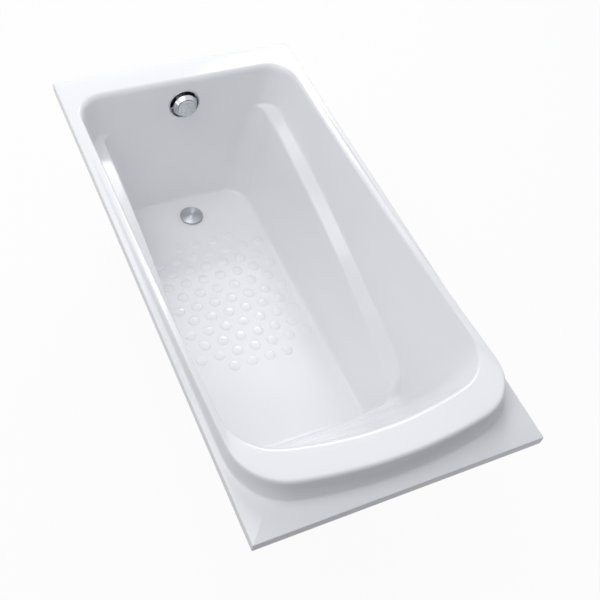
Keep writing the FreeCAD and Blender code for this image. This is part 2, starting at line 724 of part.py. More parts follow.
def sheet_solid():
    """The moulded sheet with its collar, well and turned-down skirt; the flat rim is at height 0."""
    s = size
    lines = moulding_lines()
    flat_rim = s.foot_side - s.wall
    face_poles = surface_poles(lines, 0, flat_rim, s.floor_margin)
    under_poles = surface_poles(under_lines(lines, s.foot_side, s.floor_margin), s.wall,
                                flat_rim, s.floor_margin)
    upper = both_halves(spline_face(face_poles))
    under = both_halves(spline_face(under_poles))
    outer_top = rim_wire(0, 0)
    outer_foot = rim_wire(0, -s.skirt_height)
    inner_foot = rim_wire(s.wall, -s.skirt_height)
    inner_top = rim_wire(s.wall, -s.wall)
    faces = upper + under
    faces.append(flat_face(edges_at(upper, -s.well_depth)))
    faces.append(flat_face(edges_at(under, -s.well_depth - s.wall)))
    faces.append(flat_face(outer_top, edges_at(upper, 0)))
    faces.append(flat_face(inner_top, edges_at(under, -s.wall)))
    faces.append(flat_face(outer_foot, inner_foot))
    faces += upright_faces(0, 0, -s.skirt_height)
    faces += upright_faces(s.wall, -s.wall, -s.skirt_height)
    shell = Part.makeShell(faces)
    shell.sewShape()
    solid = Part.makeSolid(shell)
    if solid.Volume < 0:
        solid.reverse()
    return solid


def dots_per_row():
    """As many dots as the floor's width takes, one fewer in every other row, and short end rows."""
    s = size
    lip_half = s.rim_width / 2 - s.foot_side - s.collar_lean_side - s.collar_top_side
    floor_half = lip_half - s.upper_wall_lean - s.arm_width - s.lower_wall_lean
    clear = 2 * (floor_half - s.dot_margin - s.dot_radius)
    full = int(clear / s.dot_pitch_across) + 1
    middle = [full if row % 2 else full - 1 for row in range(1, DOT_ROWS - 1)]
    return [full - 3] + middle + [full - 3]


def dots():
    """Rows of raised dots, each row half a pitch off the last."""
    s = size
    first = s.rim_length / 2 - s.drain_place - s.dot_gap - s.dot_pitch_along * (DOT_ROWS - 1)
    root_radius = s.dot_radius + (s.dot_radius - s.dot_top_radius) * s.dot_root / s.dot_height
    shapes = []
    for row, count in enumerate(dots_per_row()):
        for i in range(count):
            x = first + s.dot_pitch_along * row
            y = s.dot_pitch_across * (i - (count - 1) / 2)
            shapes.append(Part.makeCone(root_radius, s.dot_top_radius, s.dot_root + s.dot_height,
                                        Vector(x, y, -s.well_depth - s.dot_root)))
    return shapes


def rim_edges(solid):
    """The rim's outer top edges and its four upright corners."""
    s = size
    tolerance = s.wall * EDGE_TOLERANCE_SHARE
    chosen = []
    for edge in solid.Edges:
        middle = edge.CenterOfMass
        upright = edge.BoundBox.ZLength > s.skirt_height - tolerance
        outside = abs(abs(middle.x) - s.rim_length / 2) < tolerance
        beside = abs(abs(middle.y) - s.rim_width / 2) < tolerance
        if (outside or beside) and edge.BoundBox.ZLength < tolerance and abs(middle.z) < tolerance:
            chosen.append(edge)
        elif outside and beside and upright:
            chosen.append(edge)
    return chosen


def make_tub_shell():
    s = size
    solid = sheet_solid()
    solid = solid.makeFillet(s.rim_edge_round, rim_edges(solid))
    solid = solid.fuse(dots())
    drain_x = s.rim_length / 2 - s.drain_place
    through = s.wall + 2 * s.cut_overrun
    drain_hole = Part.makeCylinder(s.drain_hole_radius, through,
                                   Vector(drain_x, 0, -s.well_depth - s.wall - s.cut_overrun))
    wall_slope = s.drain_wall_lean / s.well_depth
    lip_x = s.rim_length / 2 - s.foot_drain - s.collar_lean_side - s.collar_top_drain
    middle = Vector(lip_x - wall_slope * s.overflow_drop, 0, -s.overflow_drop)
    way = Vector(1, 0, -wall_slope).normalize()
    overflow_hole = Part.makeCylinder(s.overflow_hole_radius, through, middle - way * s.cut_overrun, way)
    solid = solid.cut([drain_hole, overflow_hole])
    obj = doc.addObject("Part::Feature", "TubShell")
    obj.Shape = solid.Solids[0] if len(solid.Solids) == 1 else solid
    place(obj, z="rim_height")
    return node(obj, "tub_shell")


# Board and battens

def make_base_board():
    corners = rectangle(f"{HEAD_EDGE} + board_head", f"{DRAIN_EDGE} - board_drain",
                        "-board_width / 2", "board_width / 2")
    holes = [((x, y), "bar_screw_radius + fit_clearance") for x in BAR_PLACES for y in BAR_SCREW_PLACES]
    body = padded("BaseBoard", "XY_Plane", [corners], "board_thickness", holes)
    doc.recompute()
    board = body.Tip
    beyond_screws = size.bar_screw_spread + size.bar_screw_radius
    upright = []
    for i, edge in enumerate(board.Shape.Edges):
        box = edge.BoundBox
        if box.ZLength > max(box.XLength, box.YLength) and abs(edge.CenterOfMass.y) > beyond_screws:
            upright.append(f"Edge{i + 1}")
    rounding = body.newObject("PartDesign::Fillet", "Corners")
    rounding.Base = (board, upright)
    bind(rounding, Radius="board_corner")
    place(body, z=f"{UNDERSIDE} - board_thickness")
    node(body, "base_board")


def make_batten(name, label, corners):
    body = padded(name, "XY_Plane", [corners], "batten_height")
    place(body, z=f"{RIM_UNDERSIDE} - batten_height")
    node(body, label)


def make_battens():
    inside = "(rim_width / 2 - wall - batten_gap)"
    side_x = (f"{HEAD_EDGE} + side_batten_head", f"{DRAIN_EDGE} - side_batten_drain")
    make_batten("LeftBatten", "left_rim_batten",
                rectangle(*side_x, f"{inside} - batten_width", inside))
    make_batten("RightBatten", "right_rim_batten",
                rectangle(*side_x, f"-{inside}", f"batten_width - {inside}"))
    end_y = ("-end_batten_length / 2", "end_batten_length / 2")
    drain_end = f"({DRAIN_EDGE} - wall - batten_gap)"
    make_batten("DrainBatten", "drain_end_batten",
                rectangle(f"{drain_end} - drain_batten_width", drain_end, *end_y))
    head_end = f"({HEAD_EDGE} + wall + batten_gap)"
    make_batten("HeadBatten", "head_end_batten",
                rectangle(head_end, f"{head_end} + head_batten_width", *end_y))


# Legs

def make_leg_bar(x, end):
    """A channel, open below, with holes for two feet and four screws."""
    outer = "bar_width / 2"
    inner = "(bar_width / 2 - bar_wall)"
    profile = [(f"-{outer}", "0"), (f"-{outer}", "-bar_height"), (f"-{inner}", "-bar_height"),
               (f"-{inner}", "-bar_wall"), (inner, "-bar_wall"), (inner, "-bar_height"),
               (outer, "-bar_height"), (outer, "0")]
    body = padded(f"LegBar_{end}", "XZ_Plane", [profile], "bar_length", both_ways=True)
    doc.recompute()
    holes = [(("0", y), "stud_radius + stud_clearance") for y in SIDES.values()]
    holes += [(("0", y), "bar_screw_radius + fit_clearance") for y in BAR_SCREW_PLACES]
    drilled(body, holes)
    place(body, x, z=BAR_TOP)
    node(body, f"{end}_leg_bar")


def make_bar_screws():
    screws = []
    for x in BAR_PLACES:
        for y in BAR_SCREW_PLACES:
            number = len(screws) + 1
            head_z = f"{BAR_TOP} - bar_wall - bar_screw_head_height"
            head = cylinder(f"ScrewHead_{number}", "bar_screw_head_radius", "bar_screw_head_height",
                            x, y, head_z)
            shank = cylinder(f"ScrewShank_{number}", "bar_screw_radius",
                             "bar_screw_head_height + bar_screw_length", x, y, head_z)
            screws.append(joined(f"BarScrew_{number}", [head, shank]))
    node(group("BarScrews", screws), "leg_bar_screws")


def make_lock_nuts():
    """Two nuts clamp each foot's stud to the leg bar's sheet."""
    nuts = []
    for x in BAR_PLACES:
        for y in SIDES.values():
            for z in (BAR_TOP, f"{BAR_TOP} - bar_wall - lock_nut_height"):
                number = len(nuts) + 1
                blank = doc.addObject("Part::Prism", f"NutBlank_{number}")
                blank.Polygon = 6
                bind(blank, Circumradius="lock_nut_radius", Height="lock_nut_height")
                place(blank, x, y, z)
                thread = cylinder(f"NutThread_{number}", "stud_radius + running_clearance",
                                  "lock_nut_height", x, y, z)
                nuts.append(cut(f"LockNut_{number}", blank, thread))
    node(group("LockNuts", nuts), "foot_lock_nuts")


def make_foot(x, y, label):
    stud = turned(f"Stud_{label}", [("0", "0"), ("stud_radius", "0"), ("stud_radius", STUD_LENGTH),
                                    ("0", STUD_LENGTH)])
    place(stud, x, y, "stud_base")
    node(stud, f"foot_stud_{label}")
    pad = turned(f"Pad_{label}", [
        ("0", "0"), ("pad_radius", "0"), ("pad_radius", "pad_edge"), ("pad_neck_radius", "pad_height"),
        ("stud_radius + running_clearance", "pad_height"),
        ("stud_radius + running_clearance", "stud_base"), ("0", "stud_base")])
    place(pad, x, y)
    node(pad, f"foot_pad_{label}")


def make_legs():
    for x, end in zip(BAR_PLACES, BAR_NAMES):
        make_leg_bar(x, end)
        for side, y in SIDES.items():
            make_foot(x, y, f"{end}_{side}")
    make_bar_screws()
    make_lock_nuts()


# Waste

def ring(name, label, outer, inner, height, z):
    """A flat ring round the drain's axis."""
    body = turned(name, [(inner, "0"), (outer, "0"), (outer, height), (inner, height)])
    place(body, DRAIN_X, z=z)
    node(body, label)


def make_drain_flange():
    """Flange in the tub, its threaded tail and the guide that holds the plug's stem upright."""
    base = "-(flange_thickness + tail_length)"
    tail = turned("FlangeTail", [
        ("tail_bore", base), ("tail_radius", base), ("tail_radius", "-flange_thickness"),
        ("flange_radius", "-flange_thickness"), ("flange_radius", "-flange_thickness / 2"),
        ("flange_radius - flange_thickness / 2", "0"), ("tail_bore", "0")])
    guide_z = "-(guide_drop + guide_height)"
    hub = cylinder("GuideHub", "guide_radius", "guide_height", z=guide_z)
    reach = "(tail_bore + tail_radius) / 2"
    arms = spokes("GuideArm", GUIDE_ARMS, reach, "guide_arm_width", "guide_height", guide_z)
    bore = cylinder("GuideBore", "stem_radius + running_clearance", "guide_height", z=guide_z)
    flange = cut("DrainFlange", joined("FlangeBlank", [tail, hub] + arms), bore)
    place(flange, DRAIN_X, z=FLANGE_TOP)
    node(flange, "drain_flange")


def make_waste_body():
    """Cup under the floor with a socket towards the drain end."""
    cup = cylinder("Cup", "cup_radius", "cup_depth", z="-cup_depth")
    lip = cylinder("CupLip", "cup_lip_radius", "cup_lip_height", z="-cup_lip_height")
    run = "(wall + seal_thickness - run_drop)"
    socket = cylinder("CupSocket", "socket_radius", "run_socket", z=run, axis="X")
    well = cylinder("CupWell", "tail_radius + fit_clearance", "cup_depth - cup_floor",
                    z="cup_floor - cup_depth")
    passage = cylinder("CupPassage", "pipe_bore", "run_socket", z=run, axis="X")
    mouth = cylinder("CupMouth", "pipe_radius + fit_clearance", "socket_depth",
                     "run_socket - socket_depth", z=run, axis="X")
    solid = joined("WasteBodyBlank", [cup, lip, socket])
    body = cut("WasteBody", solid, joined("WasteBodyVoid", [well, passage, mouth]))
    place(body, DRAIN_X, z=f"{UNDERSIDE} - seal_thickness")
    node(body, "waste_body")


def make_branch_pipe():
    """Horizontal pipe from the cup to the tee, drilled for the rocker's pin."""
    start = f"({DRAIN_X} + run_socket - socket_depth)"
    length = "drain_place - pipe_place - run_socket - tee_reach + 2 * socket_depth"
    outside = cylinder("BranchOutside", "pipe_radius", length, start, z=RUN_Z, axis="X")
    inside = cylinder("BranchInside", "pipe_bore", length, start, z=RUN_Z, axis="X")
    hole = cylinder("BranchPinHole", "rocker_pin_radius", "2 * pipe_radius", ROCKER_X, "-pipe_radius",
                    RUN_Z, axis="Y")
    node(cut("BranchPipe", outside, joined("BranchVoid", [inside, hole])), "branch_pipe")


def make_waste_tee():
    """Tee with sockets for the branch and the overflow pipe and a spigot for the house's trap."""
    barrel = cylinder("TeeBarrel", "socket_radius", "tee_drop + tee_reach", z="-tee_drop")
    side = cylinder("TeeSide", "socket_radius", "tee_reach", "-tee_reach", axis="X")
    spigot = cylinder("TeeSpigot", "pipe_radius", "outlet_length + tee_drop",
                      z="-tee_drop - outlet_length")
    bore = cylinder("TeeBore", "pipe_bore", "outlet_length + tee_drop + tee_reach",
                    z="-tee_drop - outlet_length")
    side_bore = cylinder("TeeSideBore", "pipe_bore", "tee_reach", "-tee_reach", axis="X")
    upper_mouth = cylinder("TeeUpperMouth", "pipe_radius + fit_clearance", "socket_depth",
                           z="tee_reach - socket_depth")
    side_mouth = cylinder("TeeSideMouth", "pipe_radius + fit_clearance", "socket_depth", "-tee_reach",
                          axis="X")
    solid = joined("TeeBlank", [barrel, side, spigot])
    tee = cut("WasteTee", solid, joined("TeeVoid", [bore, side_bore, upper_mouth, side_mouth]))
    place(tee, PIPE_X, z=RUN_Z)
    node(tee, "waste_tee")


def make_overflow_pipe():
    start = f"({RUN_Z} + tee_reach - socket_depth)"
    end = f"({OVERFLOW_Z} - overflow_socket_drop + socket_depth)"
    body = turned("OverflowPipe", [("pipe_bore", "0"), ("pipe_radius", "0"),
                                   ("pipe_radius", f"{end} - {start}"), ("pipe_bore", f"{end} - {start}")])
    place(body, PIPE_X, z=start)
    node(body, "overflow_pipe")


NUT_TURNS = {"+X": (Vector(0, 1, 0), 90), "-X": (Vector(0, 1, 0), -90),
             "+Z": (Vector(0, 0, 1), 0), "-Z": (Vector(1, 0, 0), 180)}


def make_joint(number, x, z, way):
    """Slip nut and washer over a socket's mouth; way points from the socket out along the pipe."""
    pipe = "(pipe_radius + fit_clearance)"
    thread = "(socket_radius + fit_clearance)"
    back = "-nut_overlap"
    front = "(nut_length - nut_overlap)"
    nut = turned(f"SlipNut_{number}", [
        (thread, back), ("nut_radius", back), ("nut_radius", f"{front} - nut_lip / 2"),
        ("nut_radius - nut_lip / 2", front), (pipe, front), (pipe, f"{front} - nut_lip"),
        (thread, f"{front} - nut_lip")])
    washer = turned(f"SlipWasher_{number}", [
        (pipe, "0"), ("washer_radius", "0"), ("washer_radius", f"{front} - nut_lip"),
        (pipe, f"{front} - nut_lip")])
    for body in (nut, washer):
        body.Placement = Placement(Vector(0, 0, 0), Rotation(*NUT_TURNS[way]))
        place(body, x, z=z)
    return nut, washer


def make_joints():
    mouths = ((f"{DRAIN_X} + run_socket", RUN_Z, "+X"),
              (f"{PIPE_X} - tee_reach", RUN_Z, "-X"),
              (PIPE_X, f"{RUN_Z} + tee_reach", "+Z"),
              (PIPE_X, f"{OVERFLOW_Z} - overflow_socket_drop", "-Z"))
    pairs = [make_joint(i + 1, *mouth) for i, mouth in enumerate(mouths)]
    node(group("SlipNuts", [nut for nut, washer in pairs]), "slip_nuts")
    node(group("SlipWashers", [washer for nut, washer in pairs]), "slip_washers")


# Plug

def make_plug():
    cover = turned("PlugCover", [
        ("stem_radius + running_clearance", "-plug_neck_length"),
        ("plug_neck_radius", "-plug_neck_length"), ("plug_neck_radius", "0"),
        ("plug_radius", "0"), ("plug_radius", "plug_edge"),
        ("plug_shoulder_radius", "plug_shoulder"), ("plug_dome_radius", "plug_dome"), ("0", "plug_crown"),
        ("0", "stem_grip - plug_neck_length"),
        ("stem_radius + running_clearance", "stem_grip - plug_neck_length")])
    place(cover, DRAIN_X, z=PLUG_BASE)
    node(cover, "plug_cap")
    foot = f"({RUN_Z} + rocker_thickness / 2 - {HALF_STROKE} * {NEAR_ARM} / {FAR_ARM} + stem_gap)"
    stem_length = f"({PLUG_BASE} - plug_neck_length + stem_grip - {foot})"
    stem = turned("PlugStem", [("0", "0"), ("stem_radius", "0"), ("stem_radius", stem_length),
                               ("0", stem_length)])
    place(stem, DRAIN_X, z=foot)
    node(stem, "plug_stem")
    seal = doc.addObject("Part::Torus", "PlugSeal")
    bind(seal, Radius1="plug_neck_radius + plug_seal_radius", Radius2="plug_seal_radius")
    place(seal, DRAIN_X, z=f"{PLUG_BASE} - plug_seal_radius")
    node(seal, "plug_seal")
    ring("StemClip", "stem_clip", "clip_radius", "stem_radius + running_clearance",
         "clip_thickness", f"{CLIP_TOP} - clip_thickness")


# Pop-up linkage

def make_rocker():
    """Arm that lifts the plug when the rod presses its far end; at rest its near end is down."""
    arm = doc.addObject("Part::Box", "RockerBar")
    bind(arm, Length=f"{NEAR_ARM} + {FAR_ARM} + 2 * rocker_overhang", Width="rocker_width",
         Height="rocker_thickness")
    place(arm, f"-{NEAR_ARM} - rocker_overhang", "-rocker_width / 2", "-rocker_thickness / 2")
    boss = cylinder("RockerBoss", "rocker_boss_radius", "rocker_width", y="-rocker_width / 2", axis="Y")
    hole = cylinder("RockerHole", "rocker_pin_radius + running_clearance", "rocker_width",
                    y="-rocker_width / 2", axis="Y")
    rocker = cut("RockerArm", joined("RockerBlank", [arm, boss]), hole)
    rocker.Placement = Placement(Vector(0, 0, 0), Rotation(Vector(0, 1, 0), -1))
    rocker.setExpression(".Placement.Rotation.Angle", bound(f"-asin({HALF_STROKE} / {FAR_ARM})"))
    place(rocker, ROCKER_X, z=RUN_Z)
    node(rocker, "rocker_arm")
    pin = cylinder("RockerPin", "rocker_pin_radius", "pipe_radius + pipe_bore", ROCKER_X,
                   "-(pipe_radius + pipe_bore) / 2", RUN_Z, axis="Y")
    node(pin, "rocker_pin")


def make_lift_rod():
    """Rod in the overflow pipe with a slotted yoke round the crank pin."""
    foot_z = f"({RUN_Z} + rocker_thickness / 2 + {HALF_STROKE} + rod_gap)"
    crank_drop = f"(({PIPE_X} - {OVERFLOW_X}) * drain_wall_lean / well_depth)"
    yoke_z = f"({OVERFLOW_Z} - {crank_drop} + {HALF_STROKE})"
    foot = cylinder("RodFoot", "rod_foot_radius", "rod_foot_height", PIPE_X, z=foot_z)
    rod = cylinder("Rod", "rod_radius", f"{yoke_z} - yoke_height / 2 - {foot_z}", PIPE_X, z=foot_z)
    half_slot = "(crank_pin_radius + yoke_clearance)"
    corners = rectangle("-yoke_width / 2", "yoke_width / 2", "-yoke_height / 2", "yoke_height / 2")
    slot = rectangle("-yoke_slot / 2", "yoke_slot / 2", f"-{half_slot}", half_slot)
    yoke = padded("Yoke", "YZ_Plane", [corners, slot], "yoke_thickness", both_ways=True)
    place(yoke, PIPE_X, z=yoke_z)
    node(joined("LiftRod", [foot, rod, yoke]), "lift_rod")


# Overflow and knob; their own Z axis points out of the drain end's wall, their X axis up along it

def stand_on_wall(obj):
    obj.Placement = Placement(Vector(0, 0, 0), Rotation(Vector(0, 1, 0), -1))
    obj.setExpression(".Placement.Rotation.Angle", bound("atan(drain_wall_lean / well_depth) - 90 deg"))
    return place(obj, OVERFLOW_X, z=OVERFLOW_Z)


def make_overflow_ring():
    """Trim ring and its neck through the wall."""
    shape = turned("RingTurned", [
        ("neck_bore", "-neck_length"), ("neck_radius", "-neck_length"), ("neck_radius", "0"),
        ("ring_radius", "0"), ("ring_radius", "ring_thickness - ring_bevel"),
        ("ring_radius - ring_bevel", "ring_thickness"), ("neck_bore + ring_bevel", "ring_thickness"),
        ("neck_bore", "ring_thickness - ring_bevel")])
    node(stand_on_wall(shape), "overflow_ring")


def make_strainer():
    """Strainer inside the neck; its hub carries the spindle."""
    base = "(-strainer_drop - strainer_thickness)"
    rim_radius = "(neck_bore - running_clearance)"
    rim = turned("StrainerRim", [
        (f"{rim_radius} - strainer_rim", base), (rim_radius, base),
        (rim_radius, f"{base} + strainer_thickness"),
        (f"{rim_radius} - strainer_rim", f"{base} + strainer_thickness")])
    hub = cylinder("StrainerHub", "strainer_hub_radius", "strainer_hub_length", z=base)
    arms = spokes("StrainerArm", STRAINER_ARMS, f"{rim_radius} - strainer_rim / 2",
                  "strainer_arm_width", "strainer_thickness", base)
    bore = cylinder("StrainerBore", "spindle_radius + running_clearance", "strainer_hub_length", z=base)
    strainer = cut("OverflowStrainer", joined("StrainerBlank", [rim, hub] + arms), bore)
    node(stand_on_wall(strainer), "overflow_strainer")


def make_overflow_body():
    """Cup behind the wall with a socket down to the overflow pipe."""
    back = "-overflow_body_back"
    front = "(-wall - overflow_seal_thickness)"
    outside = stand_on_wall(turned("OverflowOutside", [
        ("0", back), ("overflow_body_radius", back), ("overflow_body_radius", front), ("0", front)]))
    depth = f"({back} + overflow_back_wall)"
    bore = "(neck_radius + fit_clearance)"
    inside = stand_on_wall(turned("OverflowInside", [
        ("0", depth), (bore, depth), (bore, front), ("0", front)]))
    base = f"({OVERFLOW_Z} - overflow_socket_drop)"
    socket = cylinder("OverflowSocket", "socket_radius", "overflow_socket_drop", PIPE_X, z=base)
    throat = cylinder("OverflowThroat", "pipe_bore", "overflow_socket_drop", PIPE_X, z=base)
    mouth = cylinder("OverflowMouth", "pipe_radius + fit_clearance", "socket_depth", PIPE_X, z=base)
    solid = joined("OverflowBodyBlank", [outside, socket])
    node(cut("OverflowBody", solid, joined("OverflowBodyVoid", [inside, throat, mouth])), "overflow_body")


def make_overflow_seal():
    seal = turned("OverflowSeal", [
        ("overflow_hole_radius", "-wall - overflow_seal_thickness"),
        ("overflow_body_radius", "-wall - overflow_seal_thickness"),
        ("overflow_body_radius", "-wall"), ("overflow_hole_radius", "-wall")])
    node(stand_on_wall(seal), "overflow_seal")


def make_knob():
    """Turning knob; it hides the hub that grips the spindle."""
    bore = "(spindle_radius + running_clearance)"
    inner_face = "(knob_face_radius - knob_wall)"
    groove_edge = "(knob_face_radius + knob_groove_width)"
    groove_floor = "(knob_shoulder - knob_groove_depth)"
    shape = turned("KnobTurned", [
        (bore, "knob_hub_place"), ("knob_hub_radius", "knob_hub_place"),
        ("knob_hub_radius", "knob_height - knob_wall"),
        (inner_face, "knob_height - knob_wall"),
        (inner_face, f"{groove_floor} - knob_wall"),
        ("knob_radius - knob_wall", f"{groove_floor} - knob_wall"),
        ("knob_base_radius - knob_wall", "knob_stand_off + knob_base_lip"),
        ("knob_base_radius - knob_wall", "knob_stand_off"),
        ("knob_base_radius", "knob_stand_off"),
        ("knob_base_radius", "knob_stand_off + knob_base_lip"),
        ("knob_radius", "knob_shoulder"), (groove_edge, "knob_shoulder"),
        (groove_edge, groove_floor), ("knob_face_radius", groove_floor),
        ("knob_face_radius", "knob_height - knob_bevel"),
        ("knob_face_radius - knob_bevel", "knob_height"),
        ("0", "knob_height"), ("0", "spindle_top"), (bore, "spindle_top")])
    hole = cylinder("GrubScrewHole", "grub_screw_radius + running_clearance", "knob_hub_radius",
                    "-knob_hub_radius", z="grub_screw_place", axis="X")
    node(stand_on_wall(cut("OverflowKnob", shape, hole)), "overflow_knob")
    screw = cylinder("GrubScrewBlank", "grub_screw_radius", f"knob_hub_radius - {bore}",
                     "-knob_hub_radius", z="grub_screw_place", axis="X")
    node(stand_on_wall(group("GrubScrew", [screw])), "knob_screw")


def make_spindle():
    """Spindle through the strainer with a crank; its pin starts above the axis and moves down."""
    base = "(-spindle_reach - crank_web_thickness)"
    rod = cylinder("SpindleRod", "spindle_radius", f"spindle_top - {base}", z=base)
    web = cylinder("CrankWeb", "crank_web_radius", "crank_web_thickness", z=base)
    pin = cylinder("CrankPin", "crank_pin_radius", "crank_pin_length + crank_web_thickness",
                   f"crank_radius * cos({CRANK_START_ANGLE} deg)",
                   f"-crank_radius * sin({CRANK_START_ANGLE} deg)", f"{base} - crank_pin_length")
    node(stand_on_wall(joined("KnobSpindle", [rod, web, pin])), "knob_spindle")


def make_waste():
    ring("FlangeSeal", "flange_seal", "flange_radius - seal_thickness", "drain_hole_radius",
         "seal_thickness", FLOOR_TOP)
    make_drain_flange()
    ring("WasteSeal", "waste_seal", "cup_lip_radius", "drain_hole_radius", "seal_thickness",
         f"{UNDERSIDE} - seal_thickness")
    make_waste_body()
    make_branch_pipe()
    make_waste_tee()
    make_overflow_pipe()
    make_joints()
    make_plug()
    make_rocker()
    make_lift_rod()


def make_overflow():
    make_overflow_ring()
    make_strainer()
    make_overflow_body()
    make_overflow_seal()
    make_knob()
    make_spindle()


def check_model():
    """Stop before anything is written if an object failed or a piece isn't a sound solid."""
    for obj in doc.Objects:
        if "Invalid" in obj.State or "Error" in obj.State:
            raise RuntimeError(f"{obj.Label} failed: {obj.State}")
    for piece in nodes:
        shape = piece.Shape
        if shape.isNull() or not shape.isValid() or not shape.Solids or shape.Volume <= 0:
            raise RuntimeError(f"{piece.Label} isn't a sound solid")


def export_pieces():
    os.makedirs("parts", exist_ok=True)
    for piece in nodes:
        piece.Shape.exportStep(os.path.join("parts", piece.Label + ".step"))


make_tub_shell()
make_base_board()
make_battens()
make_legs()
make_waste()
make_overflow()
doc.recompute()
check_model()
export_pieces()
print(f"{len(nodes)} pieces")
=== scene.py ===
import math
from typing import NamedTuple

import bmesh
import bpy
from bpy.props import FloatProperty, FloatVectorProperty, IntProperty
from mathutils import Matrix, Vector


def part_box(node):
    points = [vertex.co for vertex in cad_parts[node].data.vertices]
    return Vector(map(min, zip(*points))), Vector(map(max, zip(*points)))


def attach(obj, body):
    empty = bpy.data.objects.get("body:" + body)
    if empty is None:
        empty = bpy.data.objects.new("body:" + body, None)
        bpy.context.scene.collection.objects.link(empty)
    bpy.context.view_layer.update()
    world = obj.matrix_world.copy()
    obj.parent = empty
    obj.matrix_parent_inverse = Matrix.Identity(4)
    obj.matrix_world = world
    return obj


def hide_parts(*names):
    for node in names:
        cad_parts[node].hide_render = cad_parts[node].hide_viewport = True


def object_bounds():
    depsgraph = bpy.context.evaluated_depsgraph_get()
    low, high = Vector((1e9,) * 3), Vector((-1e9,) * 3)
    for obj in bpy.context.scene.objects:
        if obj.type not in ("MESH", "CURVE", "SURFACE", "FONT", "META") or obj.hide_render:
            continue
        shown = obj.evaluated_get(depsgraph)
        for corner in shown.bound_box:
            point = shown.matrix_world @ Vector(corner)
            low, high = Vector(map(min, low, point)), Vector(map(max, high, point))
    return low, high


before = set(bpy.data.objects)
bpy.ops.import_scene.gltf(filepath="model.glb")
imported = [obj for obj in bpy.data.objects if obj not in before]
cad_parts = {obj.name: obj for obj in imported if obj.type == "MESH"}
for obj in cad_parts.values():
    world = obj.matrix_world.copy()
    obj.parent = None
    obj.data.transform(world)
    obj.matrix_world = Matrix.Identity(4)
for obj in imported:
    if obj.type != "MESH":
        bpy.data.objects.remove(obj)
CAD_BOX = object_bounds()

bl_info = {
    "name": "Bathtub",
    "version": (1, 0, 0),
    "blender": (4, 5, 0),
    "location": "3D View > Sidebar > Bathtub",
    "description": "Dresses a built-in bathtub with its waste, overflow, timbers and feet",
    "category": "Object",
}


# Values

MM = 1000                   # millimetres in a metre


def linear(code):
    """A colour given as sRGB hex, in the linear values that the shaders take."""
    values = [int(code[i:i + 2], 16) / 255 for i in (0, 2, 4)]
    return tuple(v / 12.92 if v <= 0.04045 else ((v + 0.055) / 1.055) ** 2.4 for v in values) + (1,)


def length(name, description, millimetres):
    return FloatProperty(name=name, description=description, default=millimetres / MM,
                         unit="LENGTH", subtype="DISTANCE")


def angle(name, description, degrees):
    return FloatProperty(name=name, description=description, default=math.radians(degrees),
                         unit="ROTATION", subtype="ANGLE")


def colour(name, description, code):
    return FloatVectorProperty(name=name, description=description, default=linear(code), size=4,
                               min=0, max=1, subtype="COLOR")


def spot(name, description, x, y, z):
    """A place in the room, given in millimetres."""
    return FloatVectorProperty(name=name, description=description, size=3, unit="LENGTH",
                               default=(x / MM, y / MM, z / MM), subtype="TRANSLATION")


def power(name, description, watts):
    return FloatProperty(name=name, description=description, default=watts, unit="POWER")


def share(name, description, value):
    return FloatProperty(name=name, description=description, default=value, min=0, soft_max=1)


def count(name, description, value):
    return IntProperty(name=name, description=description, default=value, min=1)


